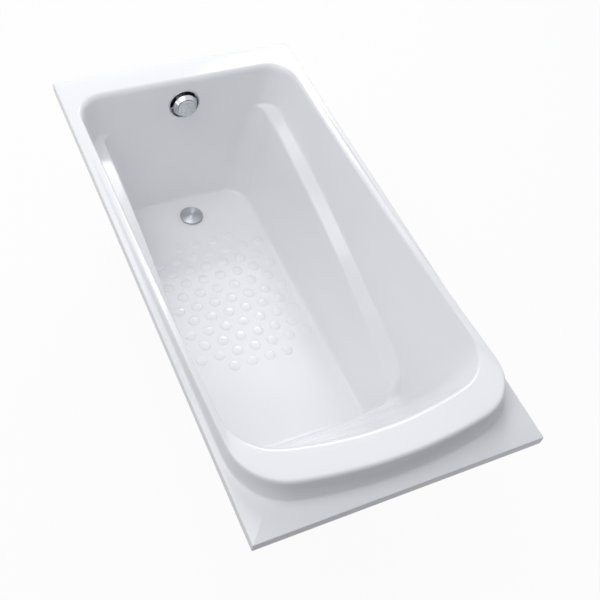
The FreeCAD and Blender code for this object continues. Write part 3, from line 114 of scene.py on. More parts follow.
class ShellSizes(bpy.types.PropertyGroup):
    """Rim, collar, well and armrests of the moulded sheet."""
    rim_length: length("Rim length", "Outside length of the rim", 1500)
    rim_width: length("Rim width", "Outside width of the rim", 740)
    rim_height: length("Rim height", "Top of the flat rim above the floor", 580)
    skirt_height: length("Skirt", "Turned-down edge below the rim's top", 26)
    wall: length("Wall", "Moulded sheet with its backing", 6)
    rim_edge_round: length("Edge rounding", "Rounding of the rim's outer edges", 2)
    foot_head: length("Collar foot, head", "Flat rim in front of the collar", 35)
    foot_side: length("Collar foot, side", "Flat rim beside the collar", 14)
    foot_drain: length("Collar foot, drain", "Flat rim at the drain end", 38)
    collar_height: length("Collar height", "Crest above the flat rim at the head end", 65)
    collar_reach: length("Collar reach", "Length over which the collar fades out", 1201)
    collar_lean_head: length("Collar lean, head", "Outer face, foot to crest", 14)
    collar_lean_side: length("Collar lean, side", "Outer face, foot to crest", 6)
    collar_top_head: length("Collar top, head", "Crest to lip", 89)
    collar_top_side: length("Collar top, side", "Crest to lip", 18)
    collar_top_drain: length("Collar top, drain", "Crest outline to lip", 42)
    foot_round: length("Foot rounding", "Rounding at the collar's foot", 6)
    crest_round: length("Crest rounding", "Rounding of the crest", 9)
    lip_round: length("Lip rounding", "Rounding of the lip", 15)
    lip_round_drain: length("Lip rounding, drain", "Rounding of the lip at the drain end", 34)
    filled_width: length("Filled width", "A collar narrower than this is filled", 36)
    hollow_width: length("Hollow width", "A collar wider than this is hollow below", 60)
    well_depth: length("Well depth", "Floor below the flat rim", 474)
    floor_head: length("Floor's head edge", "From the rim's head edge", 413)
    drain_wall_lean: length("Drain wall lean", "Lip to floor", 34)
    backrest_lean: length("Backrest lean", "Its reach in plan, from the floor up to the rim", 256)
    upper_wall_lean: length("Upper wall lean", "Side wall, lip to armrest", 32)
    arm_width: length("Armrest width", "Armrest across at the drain end", 41)
    arm_taper: length("Armrest taper", "What the outer edge is drawn in towards the head end", 12)
    lower_wall_lean: length("Lower wall lean", "Side wall, armrest to floor", 49)
    arm_drop: length("Armrest drop", "Inner edge below the rim at the drain end", 143)
    arm_fall: length("Armrest fall", "Fall of the armrest over its length", 192)
    arm_start: length("Armrest start", "Where it begins to fall, from the drain edge", 150)
    arm_length: length("Armrest length", "Length over which it falls", 948)
    arm_rise_drain: length("Armrest rise, drain", "Outer edge above the inner edge", 5)
    arm_rise_head: length("Armrest rise, head", "What the outer edge gains to the head end", 45)
    arm_outer_end: length("Outer edge's end", "From the head edge", 434)
    arm_inner_end: length("Inner edge's end", "From the head edge", 402)
    backrest_fold_upper: length("Upper fold", "Fold line on the backrest above the floor", 111)
    backrest_fold_lower: length("Lower fold", "Fold line on the backrest above the floor", 70)
    arm_round: length("Armrest rounding", "Rounding of the armrest's edges", 9)
    floor_round: length("Floor rounding", "Rounding between the walls and the floor", 19)
    floor_margin: length("Floor margin", "Strip inside the floor's edge line", 57)
    drain_place: length("Drain", "Drain's centre from the rim's drain edge", 205)
    drain_hole_radius: length("Drain hole", "Radius of the hole in the floor", 26)
    overflow_drop: length("Overflow", "Overflow's centre below the flat rim", 86)
    overflow_hole_radius: length("Overflow hole", "Radius of the hole in the drain end's wall", 47)


# What the six outlines are, and their bow across the head end and corners at either end.
OUTLINES = {
    "foot": ("Collar's foot", 1200, 150, 90),
    "crest": ("Collar's crest", 1190, 140, 88),
    "lip": ("Inner lip", 930, 135, 85),
    "arm_outer": ("Armrest's outer edge", 2500, 60, 58),
    "arm_inner": ("Armrest's inner edge", 3000, 35, 34),
    "floor": ("Floor", 4000, 24, 85),
}
OUTLINE_PARTS = {
    "bow": ("bow", "Radius of its curve across the head end"),
    "head_corner": ("corner, head", "Its corner at the head end"),
    "drain_corner": ("corner, drain", "Its corner at the drain end"),
}


def outline_sizes():
    """Each outline's bow and corners as properties."""
    sizes = {}
    for line, (title, *radii) in OUTLINES.items():
        for (part, (label, text)), radius in zip(OUTLINE_PARTS.items(), radii):
            sizes[f"{line}_{part}"] = length(f"{title}, {label}", text, radius)
    return sizes


ShellSizes.__annotations__.update(outline_sizes())


class DotSizes(bpy.types.PropertyGroup):
    """Non-slip dots on the floor."""
    radius: length("Radius", "Dot at the floor", 17.5)
    top_radius: length("Top radius", "Dot's flat top", 14.5)
    height: length("Height", "Dot above the floor", 1.4)
    pitch_across: length("Pitch across", "Dots along a row across the bath", 57)
    pitch_along: length("Pitch along", "Rows of dots along the bath", 47.5)
    gap: length("Gap to the drain", "Nearest row from the drain's centre", 117.5)
    margin: length("Margin", "Least flat strip between a dot and the floor's edge line", 20)
    rows: count("Rows", "Rows of dots along the bath", 11)
    segments: count("Segments", "Steps round a dot", 28)


class TrimSizes(bpy.types.PropertyGroup):
    """Chrome trim of the overflow and the drain, and the grips below."""
    ring_radius: length("Ring radius", "Overflow's trim ring, outside", 49.5)
    ring_thickness: length("Ring thickness", "Overflow's trim ring", 3)
    neck_radius: length("Neck radius", "Overflow's neck, outside", 46.6)
    neck_bore: length("Neck bore", "Overflow's neck, inside", 45.4)
    neck_length: length("Neck length", "Overflow's neck behind the wall's face", 24)
    knob_base_radius: length("Knob base", "Radius of the knob's rear edge", 38)
    knob_base_lip: length("Knob base lip", "Straight part of the knob's rear edge", 2)
    knob_radius: length("Knob side", "Radius where the side meets the front", 30.5)
    knob_face_radius: length("Knob face", "Radius of the raised front face", 27.8)
    knob_stand_off: length("Knob stand-off", "Rear edge in front of the wall", 8)
    knob_shoulder: length("Knob shoulder", "End of the side in front of the wall", 22)
    knob_height: length("Knob height", "Front face in front of the wall", 25)
    knob_groove_width: length("Groove width", "Groove round the front face", 1.6)
    knob_groove_depth: length("Groove depth", "Groove round the front face", 2)
    knob_wall: length("Knob wall", "Knob's shell", 2.5)
    knob_hub_radius: length("Hub radius", "Knob's hub", 8)
    knob_hub_place: length("Hub place", "Knob's hub in front of the wall", 3)
    spindle_radius: length("Spindle", "Radius of the knob's spindle", 4)
    spindle_top: length("Spindle top", "In front of the wall's face", 18)
    edge: length("Edge", "Small rounding of plated edges", 0.8)
    plug_place: length("Plug's seat", "Underside of the cover above the floor", 5.4)
    plug_radius: length("Plug radius", "Plug's cover", 37)
    plug_edge: length("Plug edge", "Plug's cover at its edge", 2)
    plug_crown: length("Plug crown", "Plug's cover at its middle", 7.5)
    plug_neck_radius: length("Plug neck", "Plug's neck inside the flange", 16)
    plug_neck_length: length("Plug neck length", "Plug's neck below the cover", 8)
    stem_radius: length("Stem", "Plug's stem", 3)
    stem_grip: length("Stem grip", "Stem inside the plug's neck", 5)
    rib_width: length("Rib width", "Grip ribs on the slip nuts", 2.6)
    rib_length: length("Rib length", "Grip ribs along the nut", 13)
    ribs: count("Ribs", "Grip ribs round a slip nut", 24)
    thread_pitch: length("Thread pitch", "Thread of the feet's studs", 1.5)


class FinishColours(bpy.types.PropertyGroup):
    """Base colours of the finishes."""
    acrylic: colour("Acrylic", "Cast sheet of the bath", "F6F7F8")
    backing: colour("Backing", "Sprayed backing on the outside of the bath", "E4E0D0")
    chrome: colour("Chrome", "Plated trim of the overflow and the drain", "C9CCD0")
    fittings: colour("Polypropylene", "Waste and overflow fittings", "5A5C60")
    rubber: colour("Rubber", "Seals and washers", "101112")
    board: colour("Particle board", "Board under the floor", "B99A6B")
    softwood: colour("Softwood", "Battens under the rim", "D3B179")
    galvanised: colour("Galvanised sheet", "Leg bars", "A3A8AC")
    zinc: colour("Bright zinc", "Screws, nuts and studs", "B4B8BC")
    nylon: colour("Nylon", "Pads of the feet", "1B1C1E")
    acetal: colour("Acetal", "Rocker in the waste", "E4E3DE")
    brass: colour("Nickel-plated brass", "Spindle and plug stem", "BCB8AE")


class StageSettings(bpy.types.PropertyGroup):
    """Camera, light and floor."""
    camera: spot("Camera", "Where the photograph was taken from", -1402.9, 834.7, 2424.6)
    azimuth: angle("Azimuth", "Direction the camera looks from", -124.33)
    elevation: angle("Elevation", "Camera's view above the horizon", 51.63)
    roll: angle("Roll", "Camera turned about its view", 12.56)
    lens: FloatProperty(name="Lens", description="Focal length on a 36 mm sensor", default=56.56,
                        unit="CAMERA")
    sky: share("Sky", "Brightness of the surroundings on the object", 0.37)
    floor_bounce: share("Floor bounce", "How pale the floor is where it only lights the bath", 0.3)
    floor_glow: share("Floor glow", "Even share of the floor's white, the rest takes shadows", 0.94)
    floor_size: length("Floor size", "Side of the floor", 40000)
    floor: colour("Floor", "Pale floor", "FFFFFF")
    sky_colour: colour("Sky colour", "Surroundings, as they light the object", "F4F3FF")
    backdrop: colour("Backdrop", "Surroundings, as the camera and reflections see them", "FFFFFF")


# What each lamp does, its middle in the room and its side in millimetres, and its watts.
LAMPS = {
    "overhead": ("Above the bath's left side, the main light", (200, 1000, 3400), 2400, 36),
    "drain": ("Beyond the drain end, fills the walls that face it", (2500, -900, 2400), 2600, 28),
    "left": ("Low on the left, for the right wall", (0, 3000, 1100), 1400, 11),
    "glint": ("Small, draws bright lines on the lip", (2600, -1400, 2570), 800, 13),
}


def lamp_settings():
    """Each lamp's place, side and power as properties."""
    settings = {}
    for lamp, (purpose, middle, side, watts) in LAMPS.items():
        name = lamp.capitalize() + " lamp"
        settings[lamp + "_place"] = spot(name, purpose, *middle)
        settings[lamp + "_size"] = length(name + "'s side", purpose, side)
        settings[lamp + "_power"] = power(name + "'s power", purpose, watts)
    return settings


StageSettings.__annotations__.update(lamp_settings())


# Shader nodes

def add(tree, kind, inputs=None, **settings):
    """Add a node with its settings; an input takes a value or another node's output socket."""
    made = tree.nodes.new(kind)
    for name, value in settings.items():
        setattr(made, name, value)
    for name, value in (inputs or {}).items():
        socket = made.inputs[name]
        if isinstance(value, bpy.types.NodeSocket):
            tree.links.new(value, socket)
        else:
            socket.default_value = value
    return made


def empty_tree(owner):
    """The cleared node tree of a material or the world."""
    owner.use_nodes = True
    owner.node_tree.nodes.clear()
    return owner.node_tree


def tinted(tone, factor):
    """A colour made darker or lighter."""
    return tuple(min(v * factor, 1) for v in tone[:3]) + (1,)


# Finishes

NOISE = "ShaderNodeTexNoise"
WAVE = "ShaderNodeTexWave"
CELLS = "ShaderNodeTexVoronoi"


class Pattern(NamedTuple):
    """A texture in the object's own coordinates."""
    kind: str
    size: float                   # millimetres across one feature
    inputs: dict = {}
    settings: dict = {}
    stretch: tuple = None         # how much faster it runs along each axis
    value: str = "Fac"            # the output that is used; Color is one value for each cell


class Finish(NamedTuple):
    """A material: its colour and roughness follow patterns, and a grain catches the light."""
    name: str
    colour: str                   # one of FinishColours
    mottle: Pattern               # carries the tints
    tints: tuple                  # place on the mottle and factor on the colour
    roughness: tuple = None       # where the gloss pattern is 0 and where it is 1
    grain: Pattern = None
    depth: float = 0              # of the grain, in millimetres
    fixed: dict = {}              # the shader's other inputs
    gloss: Pattern = None         # what the roughness follows, if that isn't the mottle
    spun: bool = False            # fine rings about the piece's middle


STRANDS = Pattern(WAVE, 60, {"Distortion": 22, "Detail": 3, "Detail Scale": 2.2})
CHIPS = Pattern(CELLS, 4.5, stretch=(1, 1.8, 3), value="Color")
LONG_STREAKS = (0.03, 1, 1)
FINISHES = {
    # Vacuum-formed acrylic: hard white gloss, with the faint waviness that forming leaves.
    "acrylic": Finish(
        "cast_acrylic_white", "acrylic", Pattern(NOISE, 260), ((0.35, 0.985), (0.65, 1)),
        (0.10, 0.15), Pattern(NOISE, 14, {"Detail": 1}), 0.012, {"IOR": 1.49},
        gloss=Pattern(NOISE, 90)),
    # Polyester with chopped glass sprayed on the outside: dull cream, matted with short strands.
    "acrylic_backing": Finish(
        "glass_fibre_backing", "backing", STRANDS, ((0.2, 0.82), (0.6, 1), (0.95, 1.15)),
        (0.55, 0.8), STRANDS, 0.35, gloss=Pattern(NOISE, 22, {"Detail": 3})),
    # Chrome plate on brass: mirror-like, with fine wiping marks that blur it a little.
    "chrome_trim": Finish(
        "chrome_plate", "chrome", Pattern(NOISE, 9, {"Detail": 4}), ((0.3, 0.95), (0.7, 1)),
        (0.24, 0.32), Pattern(NOISE, 4), 0.002, {"Metallic": 1}),
    # Chrome on spun brass: fine rings about the middle, which draw light out into a fan.
    "spun_trim": Finish(
        "spun_chrome_plate", "chrome", Pattern(NOISE, 6, {"Detail": 3}), ((0.3, 0.94), (0.7, 1)),
        fixed={"Roughness": 0.42, "Metallic": 1, "Anisotropic": 0.9, "Anisotropic Rotation": 0.25},
        spun=True),
    # Injection-moulded polypropylene: dark satin with the tool's spark-eroded grain.
    "black_fittings": Finish(
        "moulded_polypropylene_dark", "fittings", Pattern(NOISE, 30), ((0.3, 1), (0.7, 1.5)),
        (0.38, 0.5), Pattern(NOISE, 0.8), 0.03, {"IOR": 1.49}),
    # EPDM rubber: matt black with a powdery bloom.
    "black_rubber": Finish(
        "sealing_rubber_black", "rubber", Pattern(NOISE, 12, {"Detail": 5}),
        ((0.4, 1), (0.8, 2.6)), (0.65, 0.85), Pattern(NOISE, 1.5), 0.04),
    # Particle board: glued chips a few millimetres long, dull and slightly rough.
    "particle_board": Finish(
        "particle_board_raw", "board", CHIPS, ((0, 0.55), (0.35, 0.85), (0.7, 1), (1, 1.3)),
        grain=CHIPS._replace(value="Distance"), depth=0.25, fixed={"Roughness": 0.85}),
    # Planed spruce: pale, with darker late wood in long streaks along the batten.
    "softwood": Finish(
        "softwood_planed", "softwood",
        Pattern(WAVE, 38, {"Distortion": 4, "Detail": 3, "Detail Scale": 1.4},
                {"wave_type": "RINGS", "rings_direction": "X"}, LONG_STREAKS),
        ((0.1, 1.12), (0.7, 1), (0.95, 0.66)), (0.62, 0.5),
        Pattern(NOISE, 1.2, {"Detail": 3}, stretch=LONG_STREAKS), 0.08),
    # Hot-dip galvanised steel: grey metal broken into crystals about a centimetre across.
    "galvanised_steel": Finish(
        "galvanised_sheet", "galvanised", Pattern(CELLS, 11, value="Color"),
        ((0, 0.75), (1, 1.2)), (0.3, 0.52), Pattern(NOISE, 3), 0.01, {"Metallic": 1}),
    # Zinc-plated steel: bluish bright metal, a little cloudy.
    "zinc_steel": Finish(
        "zinc_plated_steel", "zinc", Pattern(NOISE, 6, {"Detail": 4}), ((0.3, 0.85), (0.7, 1)),
        (0.24, 0.4), Pattern(NOISE, 0.9), 0.01, {"Metallic": 1}),
    # Glass-filled nylon: near black, half matt, with faint flow marks.
    "foot_plastic": Finish(
        "moulded_nylon_black", "nylon", Pattern(NOISE, 18, {"Detail": 3, "Distortion": 1.2}),
        ((0.35, 1), (0.75, 1.7)), (0.5, 0.66), Pattern(NOISE, 0.7), 0.04),
    # Acetal: waxy off-white plastic with a soft sheen.
    "white_acetal": Finish(
        "moulded_acetal_white", "acetal", Pattern(NOISE, 12), ((0.3, 0.95), (0.7, 1)),
        (0.32, 0.42), Pattern(NOISE, 0.8), 0.02, {"Subsurface Weight": 0.08}),
    # Nickel plate on turned brass: pale, faintly warm metal with fine rings from the tool.
    "brass": Finish(
        "nickel_plated_brass", "brass", Pattern(NOISE, 8, {"Detail": 3}), ((0.3, 0.82), (0.7, 1)),
        (0.2, 0.34), Pattern(WAVE, 12, {"Distortion": 0.4}, {"bands_direction": "Z"}), 0.01,
        {"Metallic": 1}),
}
OWN_FINISHES = {"overflow_strainer": "zinc_steel"}   # pressed sheet in a plastic body
finishes = {}


def lay(tree, pattern, place):
    """Lay a pattern on the object's coordinates and give the value that it carries."""
    if pattern.stretch:
        place = add(tree, "ShaderNodeMapping",
                    {"Vector": place, "Scale": pattern.stretch}).outputs["Vector"]
    made = add(tree, pattern.kind, {"Vector": place, "Scale": MM / pattern.size, **pattern.inputs},
               **pattern.settings).outputs[pattern.value]
    if pattern.value == "Color":
        return add(tree, "ShaderNodeSeparateColor", {"Color": made}).outputs["Red"]
    return made


def material_of(finish, colours):
    """The procedural material that a finish describes."""
    made = bpy.data.materials.new(finish.name)
    tree = empty_tree(made)
    place = add(tree, "ShaderNodeTexCoord").outputs["Object"]
    mottle = lay(tree, finish.mottle, place)
    tints = add(tree, "ShaderNodeValToRGB", {"Fac": mottle})
    stops = tints.color_ramp.elements
    while len(stops) < len(finish.tints):
        stops.new(0.5)
    for stop, (position, factor) in zip(stops, finish.tints):
        stop.position = position
        stop.color = tinted(getattr(colours, finish.colour), factor)
    inputs = {"Base Color": tints.outputs["Color"], **finish.fixed}
    if finish.roughness:
        gloss = lay(tree, finish.gloss, place) if finish.gloss else mottle
        low, high = finish.roughness
        inputs["Roughness"] = add(tree, "ShaderNodeMapRange", {
            "Value": gloss, "To Min": low, "To Max": high}).outputs["Result"]
    if finish.grain:
        inputs["Normal"] = add(tree, "ShaderNodeBump", {
            "Height": lay(tree, finish.grain, place), "Distance": finish.depth / MM
        }).outputs["Normal"]
    if finish.spun:
        inputs["Tangent"] = add(tree, "ShaderNodeTangent", direction_type="RADIAL",
                                axis="Z").outputs["Tangent"]
    shader = add(tree, "ShaderNodeBsdfPrincipled", inputs)
    add(tree, "ShaderNodeOutputMaterial", {"Surface": shader.outputs["BSDF"]})
    return made


def finish_of(slot):
    """The material of a finish, made once."""
    if slot not in finishes:
        finishes[slot] = material_of(FINISHES[slot], bpy.context.scene.bathtub_colours)
    return finishes[slot]


# Meshes

TOUCH = 1e-5                # metres; nearer things are taken as one place
MERGE = 1e-6                # metres; nearer points of a mesh are joined
CREASE = 35                 # degrees; a sharper edge stays sharp on turned pieces
SOFT_CREASE = 50            # the same on the moulding and its dots
THREAD_CREASE = 20


def new_object(name, data):
    obj = bpy.data.objects.new(name, data)
    bpy.context.scene.collection.objects.link(obj)
    return obj


def baked(obj):
    """The object's mesh with its modifiers worked in; the object itself goes."""
    depsgraph = bpy.context.evaluated_depsgraph_get()
    depsgraph.update()
    mesh = bpy.data.meshes.new_from_object(obj.evaluated_get(depsgraph))
    mesh.name = obj.name
    bpy.data.objects.remove(obj)
    return mesh


def finished(name, mesh, body, slot, *replaced, crease=CREASE, materials=()):
    """A shown piece: smooth, with its finish, on its body."""
    mesh.shade_smooth()
    mesh.set_sharp_from_angle(angle=math.radians(crease))
    mesh.materials.clear()
    for finish in materials or (slot,):
        mesh.materials.append(finish_of(finish))
    obj = new_object(name, mesh)
    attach(obj, body)
    if replaced:
        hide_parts(*replaced)


def plain_mesh(name, points, faces=()):
    mesh = bpy.data.meshes.new(name)
    mesh.from_pydata(points, [], faces)
    return mesh


def mesh_of(bm, name):
    """A mesh from bmesh, doubles merged and faces turned outwards."""
    bmesh.ops.remove_doubles(bm, verts=bm.verts, dist=MERGE)
    bmesh.ops.recalc_face_normals(bm, faces=bm.faces)
    mesh = bpy.data.meshes.new(name)
    bm.to_mesh(mesh)
    bm.free()
    return mesh


# The moulding's lines

LIP_HEIGHT_SHARE = 0.8      # of the crest's height
COLLAR_FADE_POWER = 1.8     # how fast the collar sinks towards the drain end
COLLAR_FILL_SHARE = 1 / 3   # of the way from foot to lip, the crest under a filled collar
ARM_FALL_POWER = 1.55       # how late the armrest's fall sets in
ARM_RISE_POWER = 1.5        # the same for its outer edge above the inner one
CORNER_POLE_SHARES = (-1.2, -0.56, 0.56, 1.2)   # of a rounding's tangent, before and after it
LEAST_CORNER_SHARE = 0.3    # of the radius, the least tangent on a faint corner
SEGMENT_SHARE = 0.45        # of a stretch that one corner's poles may take
RIM_SEGMENT_SHARE = 0.8     # the same on the flat rim
WALL_POLE_SHARES = (1 / 3, 2 / 3)
OUTLINE_COUNTS = (5, 8, 12, 8, 4)   # steps: head end, corner, side, corner, drain end
LINES_OVER_WALLS = (2, 4)   # the lip and the armrest's inner edge


def arc(x, y, radius, start, end, steps):
    """Plan points round an arc, without its last; a turn of 0 faces the head end."""
    turns = [start + (end - start) * i / steps for i in range(steps)]
    return [(x - radius * math.cos(turn), y + radius * math.sin(turn)) for turn in turns]


def outline(head, drain, half, bow, head_corner, drain_corner):
    """Half an outline: middle of the head end, left side, middle of the drain end."""
    head_points, corner_points, side_points, drain_corner_points, drain_points = OUTLINE_COUNTS
    across = half - head_corner
    along = head + bow - math.sqrt((bow - head_corner) ** 2 - across ** 2)
    lean = math.asin(across / (bow - head_corner))
    side = drain - drain_corner - along
    edge = half - drain_corner
    points = [
        *arc(head + bow, 0, bow, 0, lean, head_points),
        *arc(along, across, head_corner, lean, math.pi / 2, corner_points),
        *((along + side * i / side_points, half) for i in range(side_points)),
        *arc(drain - drain_corner, edge, drain_corner, math.pi / 2, math.pi, drain_corner_points),
        *((drain, edge * (1 - i / drain_points)) for i in range(drain_points + 1))]
    points[1] = (points[0][0], points[1][1])
    return points


def collar_height(s, x):
    """Crest above the rim: full at the head end, fading out towards the drain end."""
    crest_head = -s.rim_length / 2 + s.foot_head + s.collar_lean_head
    along = (crest_head + s.collar_reach - x) / s.collar_reach
    return s.collar_height * min(max(along, 0), 1) ** COLLAR_FADE_POWER


def arm_along(s, x, end):
    """Share of the armrest's length from its start at the drain end to a place along the bath."""
    turn = -s.rim_length / 2 + end
    start = s.rim_length / 2 - s.arm_start
    return max(start - max(x, turn), 0) / s.arm_length


def drawn_in(s, points, half):
    """The armrest's outer edge, drawn in where the armrest lies low."""
    drawn = []
    for x, y in points:
        taper = s.arm_taper * arm_along(s, x, s.arm_outer_end) ** ARM_RISE_POWER
        drawn.append((x, y * (1 - taper / half)))
    return drawn


def arm_height(s, x, rise, end, fold):
    """Armrest's edge below the rim: it falls towards the head end, then dives into the backrest."""
    along = arm_along(s, x, end)
    level = -s.arm_drop - s.arm_fall * along ** ARM_FALL_POWER
    if rise:
        level += s.arm_rise_drain + s.arm_rise_head * along ** ARM_RISE_POWER
    dive = max(-s.rim_length / 2 + end - x, 0) * s.well_depth / s.backrest_lean
    return max(level - dive, fold - s.well_depth)


def line_reaches(s):
    """How far each line reaches: to the head end, to the drain end and to either side."""
    head = -s.rim_length / 2
    drain = s.rim_length / 2
    half = s.rim_width / 2
    crest_head = head + s.foot_head + s.collar_lean_head
    crest_drain = drain - s.foot_drain - s.collar_lean_side
    crest_half = half - s.foot_side - s.collar_lean_side
    lip_drain = crest_drain - s.collar_top_drain
    lip_half = crest_half - s.collar_top_side
    wall_slope = s.drain_wall_lean / s.well_depth
    back_slope = s.backrest_lean / s.well_depth
    floor_head = head + s.floor_head
    outer_half = lip_half - s.upper_wall_lean
    inner_half = outer_half - s.arm_width
    return {
        "foot": (head + s.foot_head, drain - s.foot_drain, half - s.foot_side),
        "crest": (crest_head, crest_drain, crest_half),
        "lip": (crest_head + s.collar_top_head, lip_drain, lip_half),
        "arm_outer": (floor_head - back_slope * s.backrest_fold_upper,
                      lip_drain - wall_slope * (s.arm_drop - s.arm_rise_drain), outer_half),
        "arm_inner": (floor_head - back_slope * s.backrest_fold_lower,
                      lip_drain - wall_slope * s.arm_drop, inner_half),
        "floor": (floor_head, lip_drain - s.drain_wall_lean, inner_half - s.lower_wall_lean),
    }


def moulding_lines(s):
    """The lines that carry the moulding, from the rim to the floor; height 0 is the flat rim."""
    reaches = line_reaches(s)
    foot, crest, lip, arm_outer, arm_inner, floor = (
        outline(*reach, *(getattr(s, f"{line}_{part}") for part in OUTLINE_PARTS))
        for line, reach in reaches.items())
    arm_outer = drawn_in(s, arm_outer, reaches["arm_outer"][2])
    return [
        [Vector((x, y, 0)) for x, y in foot],
        [Vector((x, y, collar_height(s, x))) for x, y in crest],
        [Vector((x, y, LIP_HEIGHT_SHARE * collar_height(s, x))) for x, y in lip],
        [Vector((x, y, arm_height(s, x, True, s.arm_outer_end, s.backrest_fold_upper)))
         for x, y in arm_outer],
        [Vector((x, y, arm_height(s, x, False, s.arm_inner_end, s.backrest_fold_lower)))
         for x, y in arm_inner],
        [Vector((x, y, -s.well_depth)) for x, y in floor],
    ]


def moved_along(start, end, distance):
    """The point at a plan distance beyond start, away from end."""
    return start + Vector((start.x - end.x, start.y - end.y, 0)).normalized() * distance


def mirrored(point):
    return Vector((point.x, -point.y, point.z))


def line_direction(line, i):
    after = line[i + 1] if i + 1 < len(line) else mirrored(line[i - 1])
    before = line[i - 1] if i else mirrored(line[1])
    return after - before


def outward_normal(lines, k, i):
    """Normal of the moulding between lines k and k + 1, pointing out of the bath."""
    down = lines[k + 1][i] - lines[k][i]
    along = line_direction(lines[k], i) + line_direction(lines[k + 1], i)
    return along.cross(down).normalized()


def clamped_share(value, low, high):
    return min(max((value - low) / (high - low), 0), 1)


def framed(lines, flat_rim, flat_floor):
    """The lines with one more on the flat rim outside them and one more on the floor inside."""
    rim = [moved_along(a, b, flat_rim) for a, b in zip(lines[0], lines[1])]
    floor = [moved_along(a, b, flat_floor) for a, b in zip(lines[-1], lines[-2])]
    return [rim] + lines + [floor]


def under_lines(s, lines):
    """The lines of the moulding's outside, one wall away; a narrow collar is filled up to them."""
    front = framed(lines, s.foot_side, s.floor_margin)
    under = []
    for k in range(1, len(front) - 1):
        line = []
        for i in range(len(front[k])):
            above = outward_normal(front, k - 1, i)
            below = outward_normal(front, k, i)
            line.append(front[k][i] + (above + below) * (s.wall / (1 + above.dot(below))))
        under.append(line)
    foot, crest, lip, arm = under[:4]
    for i in range(len(foot)):
        width = (lines[0][i] - lines[2][i]).to_2d().length
        hollow = clamped_share(width, s.filled_width, s.hollow_width)
        down = (lip[i].z + s.wall) / (lip[i].z - arm[i].z)
        flat_lip = lip[i] + (arm[i] - lip[i]) * down
        flat_crest = foot[i] + (flat_lip - foot[i]) * COLLAR_FILL_SHARE
        crest[i] = flat_crest + (crest[i] - flat_crest) * hollow
        lip[i] = flat_lip + (lip[i] - flat_lip) * hollow
    return under


def corner_poles(before, corner, after, radius, share_before):
    """Poles that round a corner between two straight stretches."""
    into = corner - before
    out = after - corner
    reach = CORNER_POLE_SHARES[-1]
    tangent = min(radius * max(math.tan(into.angle(out) / 2), LEAST_CORNER_SHARE),
                  into.length * share_before / reach, out.length * SEGMENT_SHARE / reach)
    into.normalize()
    out.normalize()
    return [corner + (out if along > 0 else into) * (along * tangent)
            for along in CORNER_POLE_SHARES]


def lip_radius(s, x):
    """The lip is rounded more where the drain end's wall meets the rim."""
    start = s.rim_length / 2 - s.drain_place
    end = s.rim_length / 2 - s.foot_drain - s.collar_top_drain
    return s.lip_round + (s.lip_round_drain - s.lip_round) * clamped_share(x, start, end)


def surface_poles(s, lines, wall):
    """Columns of poles from the rim to the floor. Wall is 0 on the bath's face."""
    full = framed(lines, s.foot_side - s.wall, s.floor_margin)
    radii = (s.foot_round + wall, s.crest_round - wall, None, s.arm_round + wall,
             s.arm_round - wall, s.floor_round + wall)
    columns = []
    for i in range(len(lines[0])):
        column = []
        for k in range(len(lines)):
            radius = radii[k] if radii[k] else lip_radius(s, lines[k][i].x) - wall
            along = SEGMENT_SHARE if k else RIM_SEGMENT_SHARE
            column += corner_poles(full[k][i], full[k + 1][i], full[k + 2][i], radius, along)
            if k in LINES_OVER_WALLS:
                stretch = full[k + 2][i] - full[k + 1][i]
                column += [full[k + 1][i] + stretch * along for along in WALL_POLE_SHARES]
        columns.append(column)
    for end, beside in ((0, 1), (-1, -2)):
        columns[beside] = [Vector((p.x, q.y, p.z)) for p, q in zip(columns[end], columns[beside])]
    return columns


# The moulded sheet

FACE_LEVELS = 2             # smoothing of the bath's face
BACK_LEVELS = 1             # smoothing of its back
HOLE_STEPS = 48
TURNED_STEPS = 96
RIM_CORNER_STEPS = 6
RIM_EDGE_STEPS = 4
TIGHT_PART = 20             # of the edge rounding, for corners that are all but sharp
CUTTER_WALLS = 4            # walls that the overflow's cutter reaches to either side
ROUNDING_SHARE = 0.48       # of a straight stretch that one rounding may take
ROUNDING_STEPS = 5


def ringed(items):
    """Each item with the next, and the last with the first."""
    return zip(items, items[1:] + items[:1])


def smooth_sheet(name, columns, height, levels):
    """A surface smoothed over a net of poles that runs all round the bath."""
    ring = columns + [[mirrored(p) for p in column] for column in reversed(columns[1:-1])]
    depth = len(ring[0])
    lift = Vector((0, 0, height))
    faces = []
    for i in range(len(ring)):
        here, there = i * depth, (i + 1) % len(ring) * depth
        faces += [(here + k, there + k, there + k + 1, here + k + 1) for k in range(depth - 1)]
    points = [p + lift for column in ring for p in column]
    obj = new_object(name, plain_mesh(name, points, faces))
    smoothing = obj.modifiers.new("Smooth", "SUBSURF")
    smoothing.levels = levels
    smoothing.render_levels = levels
    return baked(obj)


def open_edges(bm, height):
    """Boundary edges that lie flat at one height."""
    return [edge for edge in bm.edges
            if edge.is_boundary and all(abs(v.co.z - height) < TOUCH for v in edge.verts)]


def closed_loop(bm, points):
    """Vertices joined by edges in a ring."""
    verts = [bm.verts.new(p) for p in points]
    for a, b in ringed(verts):
        bm.edges.new((a, b))
    return verts


def loop_edges(verts):
    return [next(edge for edge in a.link_edges if b in edge.verts) for a, b in ringed(verts)]


def band(bm, upper, lower, material):
    """Faces between two loops of as many vertices."""
    for i in range(len(upper)):
        face = bm.faces.new((upper[i - 1], upper[i], lower[i], lower[i - 1]))
        face.material_index = material


def flat_fill(bm, edges, material):
    """A flat face with holes between closed loops of edges."""
    made = bmesh.ops.triangle_fill(bm, edges=edges, use_beauty=True)
    for item in made["geom"]:
        if isinstance(item, bmesh.types.BMFace):
            item.material_index = material


